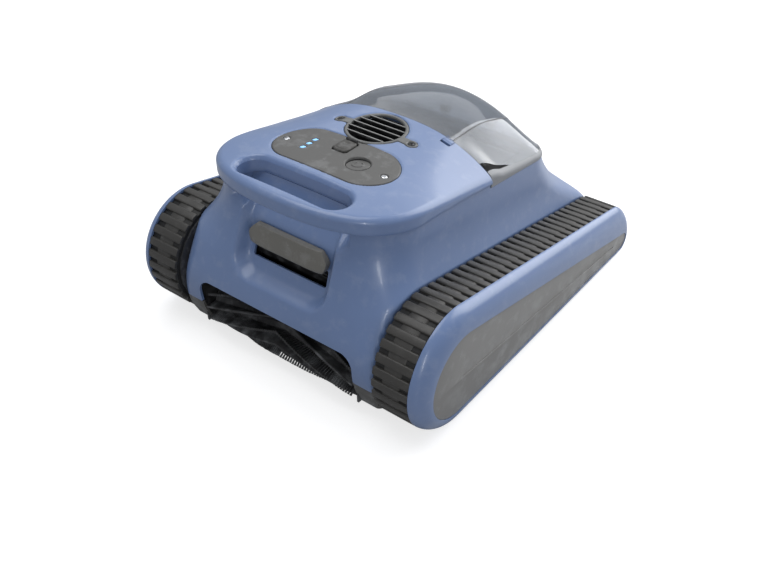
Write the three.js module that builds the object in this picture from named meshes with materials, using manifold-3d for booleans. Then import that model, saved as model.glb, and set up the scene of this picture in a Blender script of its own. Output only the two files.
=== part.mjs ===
// Cordless tracked pool cleaner. Millimetres, +X to its right, -Y the carrying handle end, +Z up.
import * as THREE from 'three';
import { mergeVertices } from 'three/addons/utils/BufferGeometryUtils.js';
import Module from 'manifold-3d';

const wasm = await Module();
wasm.setup();

// overall sizes
const LENGTH = 400;
const WIDTH = 340;
const DECK_Z = 192;
const FRONT = -LENGTH / 2;
const REAR = LENGTH / 2;
const GAP = 0.3;
const WALL = 3;
const FLATNESS = 0.03;
const FAR = 400;
const FINE = 22;
const COARSE = 12;

// side pods: everything in them is an offset of a hull round a nose and a tail circle
const NOSE_R = 60;
const TAIL_R = 29;
const NOSE_Y = FRONT + NOSE_R;
const TAIL_Y = REAR - TAIL_R;
const COVER_T = 13.5;
const COVER_WALL = 2.6;
const COVER_OUT = WIDTH / 2;
const COVER_IN = COVER_OUT - COVER_T;
const BELT_W = 37;
const BELT_OUT = COVER_IN - 0.5;
const BELT_IN = BELT_OUT - BELT_W;
const LUG_H = 3;
const LUG_COUNT = 72;
const LUG_SHARE = 0.6;
const LUG_DRAFT = 0.06;
const BELT_T = 3.5;
const BELT_INSET = LUG_H + BELT_T;
const RIM_INSET = BELT_INSET + GAP;
const POD_GAP = 2;
const BODY_W = BELT_IN - POD_GAP;
const PLATE_T = 2;
const WHEEL_IN = BELT_IN + 2;
const WHEEL_OUT = BELT_OUT - 2;
const WHEEL_CLEAR = 1.4;
const NOSE_WHEEL_R = NOSE_R - RIM_INSET;
const TAIL_WHEEL_R = TAIL_R - RIM_INSET;
const ROLLER_R = 14;
const ROLLER_Y = 20;
const ROLLER_Z = RIM_INSET + ROLLER_R;
const AXLE_R = 5;
const SHAFT_R = 4;
const ROLLER_AXLE_R = 3;
const AXLE_END = COVER_IN + 3;
const HUB_TUBE_R = 9;
const INLAY_NOSE_Y = NOSE_Y + 2;
const INLAY_NOSE_Z = NOSE_R - 6;
const INLAY_NOSE_R = NOSE_R - 17;
const INLAY_TAIL_Y = TAIL_Y + 13;
const INLAY_TAIL_Z = TAIL_R - 15;
const INLAY_TAIL_R = TAIL_R - 19;
const INLAY_RIM = 1.5;
const INLAY_T = 1.8;
const INLAY_DEPTH = 0.6;

// body
const CLEAR_Z = 12;
const SPLIT_Z = 40;
const SEAM_Y = -4;
const SEAT_Z = 150;
const SEAT_SLOPE = 0.12;
const DECK_HALF = BODY_W - 9;
const DECK_FRONT = FRONT + 18;
const DECK_BEND_Y = FRONT + 100;
const SKIN = 3.5;
const FLARE_REACH = 38;
const LEVEL = 17;
const SKIN_INSET = 6;
const ABOVE = -60;

// body slices: height, half width, front, rear, front corner, rear corner
const BODY = [
  [12, BODY_W - 4, FRONT + 18, REAR - 12, 12, 10],
  [30, BODY_W - 4, FRONT + 11, REAR - 3, 16, 14],
  [50, BODY_W - 5, FRONT + 7, REAR - 7, 22, 24],
  [70, BODY_W - 6, FRONT + 8, REAR - 24, 28, 34],
  [95, BODY_W - 8, FRONT + 16, REAR - 50, 36, 40],
  [120, BODY_W - 9.5, FRONT + 26, REAR - 71, 44, 40],
  [145, BODY_W - 11, FRONT + 35, REAR - 86, 48, 36],
  [168, BODY_W - 12, FRONT + 41, REAR - 95, 50, 36],
];

// brush
const BRUSH_R = 30;
const BRUSH_LIFT = 3.416;
const BRUSH_REACH = 36.7;
const BRUSH_TEETH = 12;
const MODULE_MM = 2;
const GEAR_PLAY = 0.35;
const BRUSH_Z = BRUSH_R + BRUSH_LIFT;
const GEAR_SPAN = Math.hypot(NOSE_Y - FRONT - BRUSH_REACH, NOSE_R - BRUSH_Z);
const IDLER_TEETH = Math.round(2 * (GEAR_SPAN - GEAR_PLAY) / MODULE_MM) - BRUSH_TEETH;
const GEAR_DIST = MODULE_MM * (IDLER_TEETH + BRUSH_TEETH) / 2 + GEAR_PLAY;
const BRUSH_Y = NOSE_Y - Math.sqrt(GEAR_DIST ** 2 - (NOSE_R - BRUSH_Z) ** 2);
const BRUSH_HALF = BODY_W - 25;
const COWL_R = BRUSH_R + 5.3;
const COWL_T = 2.6;
const SLOT_HALF = BRUSH_HALF + 1;
const SLOT_Z = BRUSH_Z + COWL_R;
const GEAR_IN = BRUSH_HALF + 7.5;
const GEAR_T = 6;

// basket bay, behind the seam
const BAY_HALF = BODY_W - 29;
const BAY_FRONT = SEAM_Y + 5;
const BAY_REAR = REAR - 100;
const BAY_FLOOR = 44;
const LINER_T = 2;
const MOUTH_HALF = 58;
const MOUTH_FRONT = BAY_FRONT + 21;
const MOUTH_REAR = BAY_FRONT + 43;
const BASKET_GAP = 2;
const BASKET_TOP = 137;
const LID_T = 2.5;
const LID_OVER = 0.5;
const LID_REAR = rimRear() + LID_OVER;
const CREASE = 0.585;
const HINGE_Y = LID_REAR + 5.5;
const HINGE_Z = seat(HINGE_Y) + 5;
const PIN_R = 1.9;

// pump
const PUMP_Y = -37;
const IMPELLER_R = 24.7;
const SHROUD_R = IMPELLER_R + 2.3;
const MOTOR_TOP = 108;
const SHROUD_LOW = 134;

// deck fittings
const PANEL_HALF = 65;
const PANEL_REAR = SEAM_Y - 62;
const PANEL_R = 30.5;
const PANEL_Y = PANEL_REAR - PANEL_R;
const PANEL_T = 2.4;
const GRIP_HALF = 60;
const GRIP_REAR = PANEL_Y - PANEL_R - 10;
const GRIP_FRONT = GRIP_REAR - 31;
const SCOOP_HALF = 56;
const SCOOP_LOW = 86;

const PAINT = {
  blue: [0x7d93c4, 0.32, 0],
  grey: [0x6b6a66, 0.55, 0],
  dark: [0x2a2a2c, 0.6, 0],
  black: [0x141415, 0.75, 0],
  tyre: [0x1d1c1b, 0.85, 0],
  smoke: [0x8d949c, 0.08, 0],
  steel: [0xc9ccd0, 0.22, 1],
  light: [0x7cc4ff, 0.3, 0],
  green: [0x1f5a36, 0.5, 0],
  bristle: [0x1f2022, 0.8, 0],
};

function seat(y) {
  return SEAT_Z - SEAT_SLOPE * (y - SEAM_Y);
}

// ---------- plain helpers ----------

// smooth curve through stations
function curve(stations, t) {
  const last = stations.length - 1;
  const at = Math.min(Math.max(t, stations[0][0]), stations[last][0]);
  const slope = (k) => {
    const a = stations[Math.max(k - 1, 0)];
    const b = stations[Math.min(k + 1, last)];
    return (b[1] - a[1]) / (b[0] - a[0]);
  };
  let i = 0;
  while (i < last - 1 && at >= stations[i + 1][0]) i += 1;
  const [t0, v0] = stations[i];
  const [t1, v1] = stations[i + 1];
  const h = t1 - t0;
  const s = (at - t0) / h;
  const s2 = s * s;
  const s3 = s2 * s;
  return (2 * s3 - 3 * s2 + 1) * v0 + (s3 - 2 * s2 + s) * h * slope(i)
    + (3 * s2 - 2 * s3) * v1 + (s3 - s2) * h * slope(i + 1);
}

function smooth(t) {
  const c = Math.min(Math.max(t, 0), 1);
  return c * c * (3 - 2 * c);
}

function signedVolume(geometry) {
  const p = geometry.attributes.position;
  const index = geometry.index;
  const [a, b, c] = [new THREE.Vector3(), new THREE.Vector3(), new THREE.Vector3()];
  let volume = 0;
  for (let i = 0; i < index.count; i += 3) {
    a.fromBufferAttribute(p, index.getX(i));
    b.fromBufferAttribute(p, index.getX(i + 1));
    c.fromBufferAttribute(p, index.getX(i + 2));
    volume += a.dot(b.cross(c)) / 6;
  }
  return volume;
}

// a closed geometry as a solid, faces turned outwards
function solid(source) {
  const geometry = source.clone();
  geometry.deleteAttribute('normal');
  geometry.deleteAttribute('uv');
  const merged = mergeVertices(geometry, 1e-4);
  const tri = Uint32Array.from(merged.index.array);
  if (signedVolume(merged) < 0) {
    for (let i = 0; i < tri.length; i += 3) [tri[i], tri[i + 1]] = [tri[i + 1], tri[i]];
  }
  const mesh = new wasm.Mesh({
    numProp: 3,
    vertProperties: Float32Array.from(merged.attributes.position.array),
    triVerts: tri,
  });
  mesh.merge();
  return new wasm.Manifold(mesh);
}

function all(pieces) {
  return pieces.reduce((sum, piece) => sum.add(piece));
}

const TURN = {
  x: new THREE.Matrix4().makeBasis(
    new THREE.Vector3(0, 1, 0), new THREE.Vector3(0, 0, 1), new THREE.Vector3(1, 0, 0)),
  y: new THREE.Matrix4().makeBasis(
    new THREE.Vector3(0, 0, 1), new THREE.Vector3(1, 0, 0), new THREE.Vector3(0, 1, 0)),
  z: new THREE.Matrix4(),
};
const SHIFT = { x: [1, 0, 0], y: [0, 1, 0], z: [0, 0, 1] };

// outline pushed along an axis from a to b; outlines are (y,z), (z,x) or (x,y)
function prism(axis, outline, a, b) {
  const shape = new THREE.Shape(outline.map(([u, v]) => new THREE.Vector2(u, v)));
  const geometry = new THREE.ExtrudeGeometry(shape, { depth: b - a, bevelEnabled: false });
  geometry.applyMatrix4(TURN[axis]);
  const [dx, dy, dz] = SHIFT[axis];
  geometry.translate(dx * a, dy * a, dz * a);
  return solid(geometry);
}

function box(x0, x1, y0, y1, z0, z1) {
  return prism('z', [[x0, y0], [x1, y0], [x1, y1], [x0, y1]], z0, z1);
}

function arc(u, v, r, from, to, n) {
  const points = [];
  for (let k = 0; k <= n; k += 1) {
    const a = (from + (to - from) * k / n) * Math.PI / 180;
    points.push([u + r * Math.cos(a), v + r * Math.sin(a)]);
  }
  return points;
}

function circle(u, v, r, n = COARSE) {
  return arc(u, v, r, 0, 360, n).slice(0, n);
}

function rod(axis, u, v, r, a, b, n = COARSE) {
  return prism(axis, circle(u, v, r, n), a, b);
}

function roundedRect(u0, u1, v0, v1, r, n = 3) {
  return [
    ...arc(u1 - r, v1 - r, r, 0, 90, n),
    ...arc(u0 + r, v1 - r, r, 90, 180, n),
    ...arc(u0 + r, v0 + r, r, 180, 270, n),
    ...arc(u1 - r, v0 + r, r, 270, 360, n),
  ];
}

// closed (radius, along) outline turned about an axis through (u, v)
function turned(axis, outline, u, v, n = FINE) {
  const points = [...outline, outline[0]].map(([r, along]) => new THREE.Vector2(r, along));
  const geometry = new THREE.LatheGeometry(points, n);
  geometry.rotateX(Math.PI / 2);
  geometry.applyMatrix4(TURN[axis]);
  const place = { x: [0, u, v], y: [v, 0, u], z: [u, v, 0] }[axis];
  geometry.translate(...place);
  return solid(geometry);
}

// rings of equal count joined up, with a fan over each end
function loft(rings) {
  const n = rings[0].length;
  const centre = (ring) => {
    const sum = ring.reduce((s, p) => [s[0] + p[0], s[1] + p[1], s[2] + p[2]], [0, 0, 0]);
    return sum.map((value) => value / n);
  };
  const points = [...rings.flat(), centre(rings[0]), centre(rings[rings.length - 1])];
  const tri = [];
  for (let r = 0; r + 1 < rings.length; r += 1) {
    for (let k = 0; k < n; k += 1) {
      const a = r * n + k;
      const b = r * n + (k + 1) % n;
      tri.push(a, b, b + n, a, b + n, a + n);
    }
  }
  const first = rings.length * n;
  const end = (rings.length - 1) * n;
  for (let k = 0; k < n; k += 1) {
    const next = (k + 1) % n;
    tri.push(first, next, k);
    tri.push(first + 1, end + k, end + next);
  }
  const geometry = new THREE.BufferGeometry();
  geometry.setAttribute('position', new THREE.Float32BufferAttribute(points.flat(), 3));
  geometry.setIndex(tri);
  return solid(geometry);
}

// ---------- shapes shared by several pieces ----------

// hull of two circles in (y, z)
function hullOutline(y1, z1, r1, y2, z2, r2, n = 16) {
  const along = Math.atan2(z2 - z1, y2 - y1) * 180 / Math.PI;
  const open = Math.acos((r1 - r2) / Math.hypot(y2 - y1, z2 - z1)) * 180 / Math.PI;
  return [
    ...arc(y1, z1, r1, along + open, along + 360 - open, n),
    ...arc(y2, z2, r2, along - open, along + open, Math.ceil(n / 2)),
  ];
}

function podOutline(inset, n) {
  return hullOutline(NOSE_Y, NOSE_R, NOSE_R - inset, TAIL_Y, TAIL_R, TAIL_R - inset, n);
}

// distance outside the pod outline in (y, z)
function podDistance(y, z) {
  const span = Math.hypot(TAIL_Y - NOSE_Y, TAIL_R - NOSE_R);
  const ey = (TAIL_Y - NOSE_Y) / span;
  const ez = (TAIL_R - NOSE_R) / span;
  const u = (y - NOSE_Y) * ey + (z - NOSE_R) * ez;
  const v = Math.abs((z - NOSE_R) * ey - (y - NOSE_Y) * ez);
  const b = (NOSE_R - TAIL_R) / span;
  const a = Math.sqrt(1 - b * b);
  const k = a * u - b * v;
  if (k < 0) return Math.hypot(u, v) - NOSE_R;
  if (k > a * span) return Math.hypot(u - span, v) - TAIL_R;
  return a * v + b * u - NOSE_R;
}

// where the body's rear wall meets the seat line
function rimRear() {
  const rear = (z) => curve(BODY.map((row) => [row[0], row[3]]), z);
  let y = REAR;
  for (let k = 0; k < 20; k += 1) y = rear(seat(y));
  return y;
}

function bodyRing(z, inset) {
  const at = (column) => curve(BODY.map((row) => [row[0], row[column]]), z);
  const w = at(1) - inset;
  const front = at(2) + inset;
  const rear = at(3) - inset;
  const rf = Math.max(at(4) - inset, 3);
  const rr = Math.max(at(5) - inset, 3);
  const corners = [
    [w - rf, front + rf, rf, -90, 14],
    [w - rr, rear - rr, rr, 0, 3],
    [-(w - rr), rear - rr, rr, 90, 14],
    [-(w - rf), front + rf, rf, 180, 3],
  ];
  const points = [];
  corners.forEach(([u, v, r, from], i) => {
    const turn = arc(u, v, r, from, from + 90, 3);
    points.push(...turn);
    const [nu, nv, nr, nFrom] = corners[(i + 1) % 4];
    const [end] = arc(nu, nv, nr, nFrom, nFrom, 1);
    const start = turn[turn.length - 1];
    const steps = i % 2 === 0 ? 7 : 2;
    for (let k = 1; k < steps; k += 1) {
      points.push([start[0] + (end[0] - start[0]) * k / steps,
        start[1] + (end[1] - start[1]) * k / steps]);
    }
  });
  return points.map(([x, y]) => {
    const ax = Math.abs(x);
    const near = 1 - Math.max(podDistance(y, z) + 1.5, 0) / FLARE_REACH;
    const pull = Math.max(near, 0) ** 2.5 * smooth((ax - 60) / (w - 60));
    return [Math.sign(x) * (ax + (BODY_W - inset - ax) * Math.min(pull, 1)), y];
  });
}

function bodyBlock(inset, z0, z1) {
  const levels = [z0];
  for (let k = 1; k * LEVEL < z1; k += 1) if (k * LEVEL > z0 + 1) levels.push(k * LEVEL);
  levels.push(z1);
  return loft(levels.map((z) => bodyRing(z, inset).map(([x, y]) => [x, y, z])));
}

// height of the upper skin over deck and lid
function crest(y) {
  return curve([
    [FRONT, DECK_Z], [SEAM_Y, DECK_Z], [SEAM_Y + 34, DECK_Z + 1.5], [LID_REAR - 59, DECK_Z],
    [LID_REAR - 34, DECK_Z - 5], [LID_REAR - 19, DECK_Z - 13], [LID_REAR - 7, DECK_Z - 29],
    [LID_REAR, DECK_Z - 50],
  ], y);
}

function deckSkin(x, y) {
  const drop = curve([[FRONT, 7], [FRONT + 80, 9], [SEAM_Y - 56, 20], [SEAM_Y, 32]], y);
  return crest(Math.min(y, SEAM_Y)) - drop * (Math.abs(x) / DECK_HALF) ** 2.6;
}

function lidSkin(x, y, half) {
  const u = Math.abs(x) / half;
  const dip = curve([[SEAM_Y, 7.5], [SEAM_Y + 44, 10], [LID_REAR - 29, 16], [LID_REAR, 10]], y);
  const side = curve([[SEAM_Y, 10], [SEAM_Y + 44, 5], [LID_REAR - 29, 3.5], [LID_REAR, 3]], y);
  const crease = crest(y) - dip;
  const edge = Math.min(seat(y) + side, crease - 1);
  const roof = u < CREASE
    ? crest(y) - dip * (u / CREASE) ** 2
    : crease + (edge - crease) * (u - CREASE) / (1 - CREASE);
  const blend = smooth((y - SEAM_Y) / 25);
  return deckSkin(x, Math.min(y, SEAM_Y)) * (1 - blend) + roof * blend;
}

// half of the deck outline sizes, as one ring of (x, y)
function deckOutline(inset) {
  const half = DECK_HALF - inset;
  const reach = DECK_BEND_Y - DECK_FRONT - inset;
  const points = [];
  const steps = 14;
  for (let k = 0; k <= steps; k += 1) {
    const a = Math.PI + Math.PI * k / steps;
    const c = Math.cos(a);
    const s = Math.sin(a);
    points.push([half * Math.sign(c) * Math.abs(c) ** 0.8, DECK_BEND_Y - reach * Math.abs(s) ** 0.8]);
  }
  const rear = SEAM_Y - Math.min(inset, 0);
  const side = 4;
  for (let k = 1; k <= side; k += 1) points.push([half, DECK_BEND_Y + (rear - DECK_BEND_Y) * k / side]);
  const across = 8;
  for (let k = 1; k < across; k += 1) points.push([half - 2 * half * k / across, rear]);
  for (let k = side; k >= 1; k -= 1) points.push([-half, DECK_BEND_Y + (rear - DECK_BEND_Y) * k / side]);
  return points;
}

function lip(y) {
  return curve([[FRONT + 80, 16], [SEAM_Y - 56, 10], [SEAM_Y, 6.5]], y);
}

// a slab under the deck skin: outline rings [inset, depth of y], closed over top and bottom
function deckSlab(rings) {
  const middle = (DECK_FRONT + SEAM_Y) / 2;
  const layer = (inset, scale, depth) => deckOutline(inset).map(([x, y]) => {
    const sx = x * scale;
    const sy = middle + (y - middle) * scale;
    return [sx, sy, deckSkin(sx, sy) - depth(sy)];
  });
  const cap = (depth) => [0.98, 0.7, 0.36].map((s) => layer(SKIN_INSET, s, depth));
  return loft([
    ...cap(rings[0][1]).reverse(),
    ...rings.map(([inset, depth]) => layer(inset, 1, depth)),
    ...cap(rings[rings.length - 1][1]),
  ]);
}

// everything between two depths below the deck skin
function deckBand(top, bottom) {
  const depth = (value) => (typeof value === 'function' ? value : () => value);
  return deckSlab([[-30, depth(bottom)], [-30, depth(top)]]);
}

// a sloped half space, above the seat line plus a lift
function aboveSeat(lift) {
  return prism('x', [
    [SEAM_Y, seat(SEAM_Y) + lift], [REAR + 50, seat(REAR + 50) + lift],
    [REAR + 50, FAR], [SEAM_Y, FAR],
  ], -FAR, FAR);
}

// ---------- side pods ----------

function trackBelt() {
  const outer = podOutline(LUG_H, 30);
  const length = outer.map(([y, z], i) => {
    const [ny, nz] = outer[(i + 1) % outer.length];
    return Math.hypot(ny - y, nz - z);
  });
  const total = length.reduce((a, b) => a + b, 0);
  const pitch = total / LUG_COUNT;
  const at = (s) => {
    let rest = ((s % total) + total) % total;
    let i = 0;
    while (rest > length[i]) {
      rest -= length[i];
      i += 1;
    }
    const [y, z] = outer[i];
    const [ny, nz] = outer[(i + 1) % outer.length];
    const f = rest / length[i];
    const ty = (ny - y) / length[i];
    const tz = (nz - z) / length[i];
    return { y: y + (ny - y) * f, z: z + (nz - z) * f, ny: tz, nz: -ty };
  };
  const points = [];
  for (let k = 0; k < LUG_COUNT; k += 1) {
    const middle = k * pitch;
    const root = pitch * LUG_SHARE / 2;
    const tip = root - pitch * LUG_DRAFT;
    for (const [offset, rise] of [[-root, 0], [-tip, LUG_H], [tip, LUG_H], [root, 0]]) {
      const p = at(middle + offset);
      points.push([p.y + p.ny * rise, Math.max(p.z + p.nz * rise, 0)]);
    }
  }
  const hole = prism('x', podOutline(BELT_INSET - 0.1, 26), BELT_IN - 1, BELT_OUT + 1);
  return prism('x', points, BELT_IN, BELT_OUT).subtract(hole);
}

// circles of the cover outline: the pod outline at 0, closing in on the face inlay at 1
function coverOutline(t, inset, n) {
  const mix = (a, b) => a + (b - a) * t;
  return hullOutline(mix(NOSE_Y, INLAY_NOSE_Y), mix(NOSE_R, INLAY_NOSE_Z),
    mix(NOSE_R, INLAY_NOSE_R + INLAY_RIM) - inset, mix(TAIL_Y, INLAY_TAIL_Y),
    mix(TAIL_R, INLAY_TAIL_Z), mix(TAIL_R, INLAY_TAIL_R + INLAY_RIM) - inset, n);
}

function coverBlock(inset, x0, x1) {
  const rings = [];
  const steps = 4;
  for (let k = 0; k <= steps; k += 1) {
    const a = Math.PI / 2 * k / steps;
    const x = x0 + (x1 - x0) * Math.sin(a);
    rings.push(coverOutline(1 - Math.cos(a), inset, 10).map(([y, z]) => [x, y, z]));
  }
  return loft(rings);
}

// the wedge inlay on the cover face
function inlayOutline(inset) {
  return hullOutline(INLAY_NOSE_Y, INLAY_NOSE_Z, INLAY_NOSE_R - inset,
    INLAY_TAIL_Y, INLAY_TAIL_Z, INLAY_TAIL_R - inset, 16);
}

const POSTS = [[NOSE_Y + 80, 50], [ROLLER_Y + 45, 42], [TAIL_Y - 48, 32]];
const POST_R = 6;

function sideCover() {
  const hollow = coverBlock(COVER_WALL, COVER_IN - 1, COVER_OUT - COVER_WALL - INLAY_T);
  const face = COVER_OUT - INLAY_DEPTH - INLAY_T;
  const recess = prism('x', inlayOutline(0), face, COVER_OUT + 5);
  const inside = coverBlock(1, COVER_IN - 1, COVER_OUT - 1);
  const bosses = [
    rod('x', NOSE_Y, NOSE_R, AXLE_R + 4, COVER_IN, face),
    rod('x', ROLLER_Y, ROLLER_Z, ROLLER_AXLE_R + 3, COVER_IN, face),
    ...POSTS.map(([y, z]) => rod('x', y, z, POST_R, COVER_IN, face)),
  ].map((boss) => boss.intersect(inside));
  const holes = [
    rod('x', NOSE_Y, NOSE_R, AXLE_R + GAP, COVER_IN - 1, AXLE_END + GAP),
    rod('x', ROLLER_Y, ROLLER_Z, ROLLER_AXLE_R + GAP, COVER_IN - 1, AXLE_END + GAP),
  ];
  return coverBlock(0, COVER_IN, COVER_OUT)
    .subtract(hollow)
    .add(all(bosses))
    .subtract(all([recess, ...holes]));
}

function sideInlay() {
  const out = COVER_OUT - INLAY_DEPTH;
  const grooveHalf = 0.9;
  const slope = (18 - 50) / (TAIL_Y - 8 - (NOSE_Y + 5));
  const groove = prism('x', [
    [NOSE_Y + 5, 50 - grooveHalf], [TAIL_Y - 8, 50 + slope * (TAIL_Y - NOSE_Y - 13) - grooveHalf],
    [TAIL_Y - 8, 50 + slope * (TAIL_Y - NOSE_Y - 13) + grooveHalf], [NOSE_Y + 5, 50 + grooveHalf],
  ], out - 0.8, out + 1);
  return prism('x', inlayOutline(GAP), out - INLAY_T + GAP, out).subtract(groove);
}

function trackFrame() {
  const plateIn = BODY_W + GAP;
  const webOut = COVER_IN - GAP;
  const plate = prism('x', podOutline(RIM_INSET, 12), plateIn, plateIn + PLATE_T);
  const web = prism('x', podOutline(RIM_INSET, 12), plateIn, webOut);
  const pocket = (y, z, r) => rod('x', y, z, r, plateIn + PLATE_T, FAR, FINE);
  const nose = pocket(NOSE_Y, NOSE_R, NOSE_WHEEL_R + WHEEL_CLEAR);
  const tail = pocket(TAIL_Y, TAIL_R, TAIL_WHEEL_R + WHEEL_CLEAR);
  const roller = pocket(ROLLER_Y, ROLLER_Z, ROLLER_R + WHEEL_CLEAR);
  const hollow = prism('x', podOutline(RIM_INSET + WALL, 12), plateIn + PLATE_T, FAR)
    .subtract(all([
      pocket(NOSE_Y, NOSE_R, NOSE_WHEEL_R + WHEEL_CLEAR + WALL),
      pocket(TAIL_Y, TAIL_R, TAIL_WHEEL_R + WHEEL_CLEAR + WALL),
    ]));
  const posts = POSTS.map(([y, z]) => rod('x', y, z, POST_R + 1, plateIn, webOut));
  const ends = all([
    rod('x', NOSE_Y, NOSE_R, HUB_TUBE_R + 1, 0, FAR),
    rod('x', TAIL_Y, TAIL_R, SHAFT_R + 1, 0, FAR),
    rod('x', ROLLER_Y, ROLLER_Z, ROLLER_AXLE_R + GAP, 0, FAR),
  ]);
  const trim = box(0, FAR, FRONT, NOSE_Y, -1, FAR).add(box(0, FAR, TAIL_Y, REAR, -1, FAR));
  return web.subtract(trim)
    .subtract(hollow)
    .add(all(posts))
    .subtract(all([nose, tail, roller]))
    .add(plate)
    .subtract(ends);
}

// wheel section: rim, web and hub about a bore
function wheel(y, z, r, bore, hub, rim, n) {
  const mid = (WHEEL_IN + WHEEL_OUT) / 2;
  const web = 2.5;
  return turned('x', [
    [bore, WHEEL_IN], [hub, WHEEL_IN], [hub, mid - web], [r - rim, mid - web],
    [r - rim, WHEEL_IN], [r, WHEEL_IN], [r, WHEEL_OUT], [r - rim, WHEEL_OUT],
    [r - rim, mid + web], [hub, mid + web], [hub, WHEEL_OUT], [bore, WHEEL_OUT],
  ], y, z, n);
}

function idlerWheel() {
  return wheel(NOSE_Y, NOSE_R, NOSE_WHEEL_R, AXLE_R + GAP, 13, 4, 30);
}

// the right nose wheel carries the brush gear on a tube through the body wall
function transferHub() {
  return turned('x', [
    [AXLE_R + GAP, GEAR_IN], [HUB_TUBE_R, GEAR_IN], [HUB_TUBE_R, WHEEL_IN + 1],
    [AXLE_R + GAP, WHEEL_IN + 1],
  ], NOSE_Y, NOSE_R, 30);
}

function gearOutline(u, v, teeth, turn) {
  const pitchR = MODULE_MM * teeth / 2;
  const root = pitchR - 1.2 * MODULE_MM;
  const tip = pitchR + 0.9 * MODULE_MM;
  const points = [];
  for (let k = 0; k < teeth; k += 1) {
    const middle = turn + 2 * Math.PI * k / teeth;
    const step = 2 * Math.PI / teeth;
    for (const [offset, r] of [[-0.33, root], [-0.1, tip], [0.1, tip], [0.33, root]]) {
      const a = middle + offset * step;
      points.push([u + r * Math.cos(a), v + r * Math.sin(a)]);
    }
  }
  return points;
}

const MESH_ANGLE = Math.atan2(BRUSH_Z - NOSE_R, BRUSH_Y - NOSE_Y);

function transferGear() {
  return prism('x', gearOutline(NOSE_Y, NOSE_R, IDLER_TEETH, MESH_ANGLE), GEAR_IN, GEAR_IN + GEAR_T)
    .subtract(rod('x', NOSE_Y, NOSE_R, HUB_TUBE_R + GAP + 0.1, 0, FAR, 24));
}

function brushGear() {
  const turn = MESH_ANGLE + Math.PI + Math.PI / BRUSH_TEETH;
  return prism('x', gearOutline(BRUSH_Y, BRUSH_Z, BRUSH_TEETH, turn), GEAR_IN, GEAR_IN + GEAR_T)
    .subtract(rod('x', BRUSH_Y, BRUSH_Z, SHAFT_R + GAP, 0, FAR));
}

// ---------- brush ----------

function brushCore() {
  return rod('x', BRUSH_Y, BRUSH_Z, 11, -BRUSH_HALF + 2, BRUSH_HALF - 2)
    .add(rod('x', BRUSH_Y, BRUSH_Z, SHAFT_R, -BRUSH_HALF - 6, GEAR_IN + GEAR_T + 1));
}

function brushSleeve() {
  const fins = 6;
  const outline = [];
  for (let k = 0; k < fins; k += 1) {
    for (const [offset, r] of [[-0.32, 14], [-0.14, BRUSH_R], [0.14, BRUSH_R], [0.32, 14]]) {
      const a = 2 * Math.PI * (k + offset) / fins;
      outline.push([r * Math.cos(a), r * Math.sin(a)]);
    }
  }
  const rings = [];
  const steps = 8;
  const x0 = -BRUSH_HALF + 2;
  const x1 = BRUSH_HALF - 2;
  for (let k = 0; k <= steps; k += 1) {
    const x = x0 + (x1 - x0) * k / steps;
    const twist = Math.abs(x) / BRUSH_HALF * Math.PI / 3;
    const [c, s] = [Math.cos(twist), Math.sin(twist)];
    rings.push(outline.map(([u, v]) => [x, BRUSH_Y + u * c - v * s, BRUSH_Z + u * s + v * c]));
  }
  return loft(rings).subtract(rod('x', BRUSH_Y, BRUSH_Z, 11 + GAP, -FAR, FAR));
}

function brushBush(side) {
  const [a, b] = [SLOT_HALF + 0.4, SLOT_HALF + 4.5];
  return rod('x', BRUSH_Y, BRUSH_Z, SHAFT_R + 3, side > 0 ? a : -b, side > 0 ? b : -a)
    .subtract(rod('x', BRUSH_Y, BRUSH_Z, SHAFT_R + GAP, -FAR, FAR));
}

// ---------- chassis, body and deck ----------

function cowlOutline(r) {
  return [
    ...arc(BRUSH_Y, BRUSH_Z, r, -34, 90, 10),
    [FRONT + 10.5, BRUSH_Z + r], [FRONT - 20, BRUSH_Z + r], [FRONT - 20, CLEAR_Z - 5],
    [BRUSH_Y + r * Math.cos(34 * Math.PI / 180), CLEAR_Z - 5],
  ];
}

function chassisTray() {
  const outer = bodyBlock(0, CLEAR_Z, SPLIT_Z);
  const inner = bodyBlock(WALL, CLEAR_Z + WALL, SPLIT_Z + 1);
  const cheek = SLOT_HALF + 4.5;
  const limit = bodyBlock(WALL + GAP, CLEAR_Z, SLOT_Z + 10);
  const cowl = prism('x', cowlOutline(COWL_R + COWL_T), -cheek, cheek).intersect(limit);
  const cut = prism('x', cowlOutline(COWL_R), -SLOT_HALF, SLOT_HALF);
  const duct = box(-MOUTH_HALF - LINER_T, MOUTH_HALF + LINER_T, MOUTH_FRONT - LINER_T,
    MOUTH_REAR + LINER_T, CLEAR_Z, BAY_FLOOR - GAP);
  const mouth = box(-MOUTH_HALF, MOUTH_HALF, MOUTH_FRONT, MOUTH_REAR, 0, FAR);
  const saddles = [-1, 1].map((side) => box(side * 78 - 4, side * 78 + 4, TAIL_Y - 16, TAIL_Y + 16,
    CLEAR_Z + 1, TAIL_R - 6).subtract(rod('x', TAIL_Y, TAIL_R, GEARBOX_R + GAP, -FAR, FAR, 24)));
  const bushHoles = rod('x', BRUSH_Y, BRUSH_Z, SHAFT_R + 3 + GAP, -FAR, FAR);
  const wells = [-1, 1].map((side) => bodyWell(side));
  return outer.subtract(inner)
    .add(cowl)
    .add(all([duct, ...saddles]))
    .subtract(all([cut, mouth, bushHoles, ...wells]));
}

const GEARBOX_R = 13.5;

// way out of the body side for shafts and axles
function bodyWell(side) {
  const [a, b] = side > 0 ? [BODY_W - 8, BODY_W + 5] : [-BODY_W - 5, -BODY_W + 8];
  return all([
    rod('x', NOSE_Y, NOSE_R, side > 0 ? HUB_TUBE_R + 1 : AXLE_R + GAP, a, b),
    rod('x', TAIL_Y, TAIL_R, SHAFT_R + 1, a, b),
  ]);
}

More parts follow.
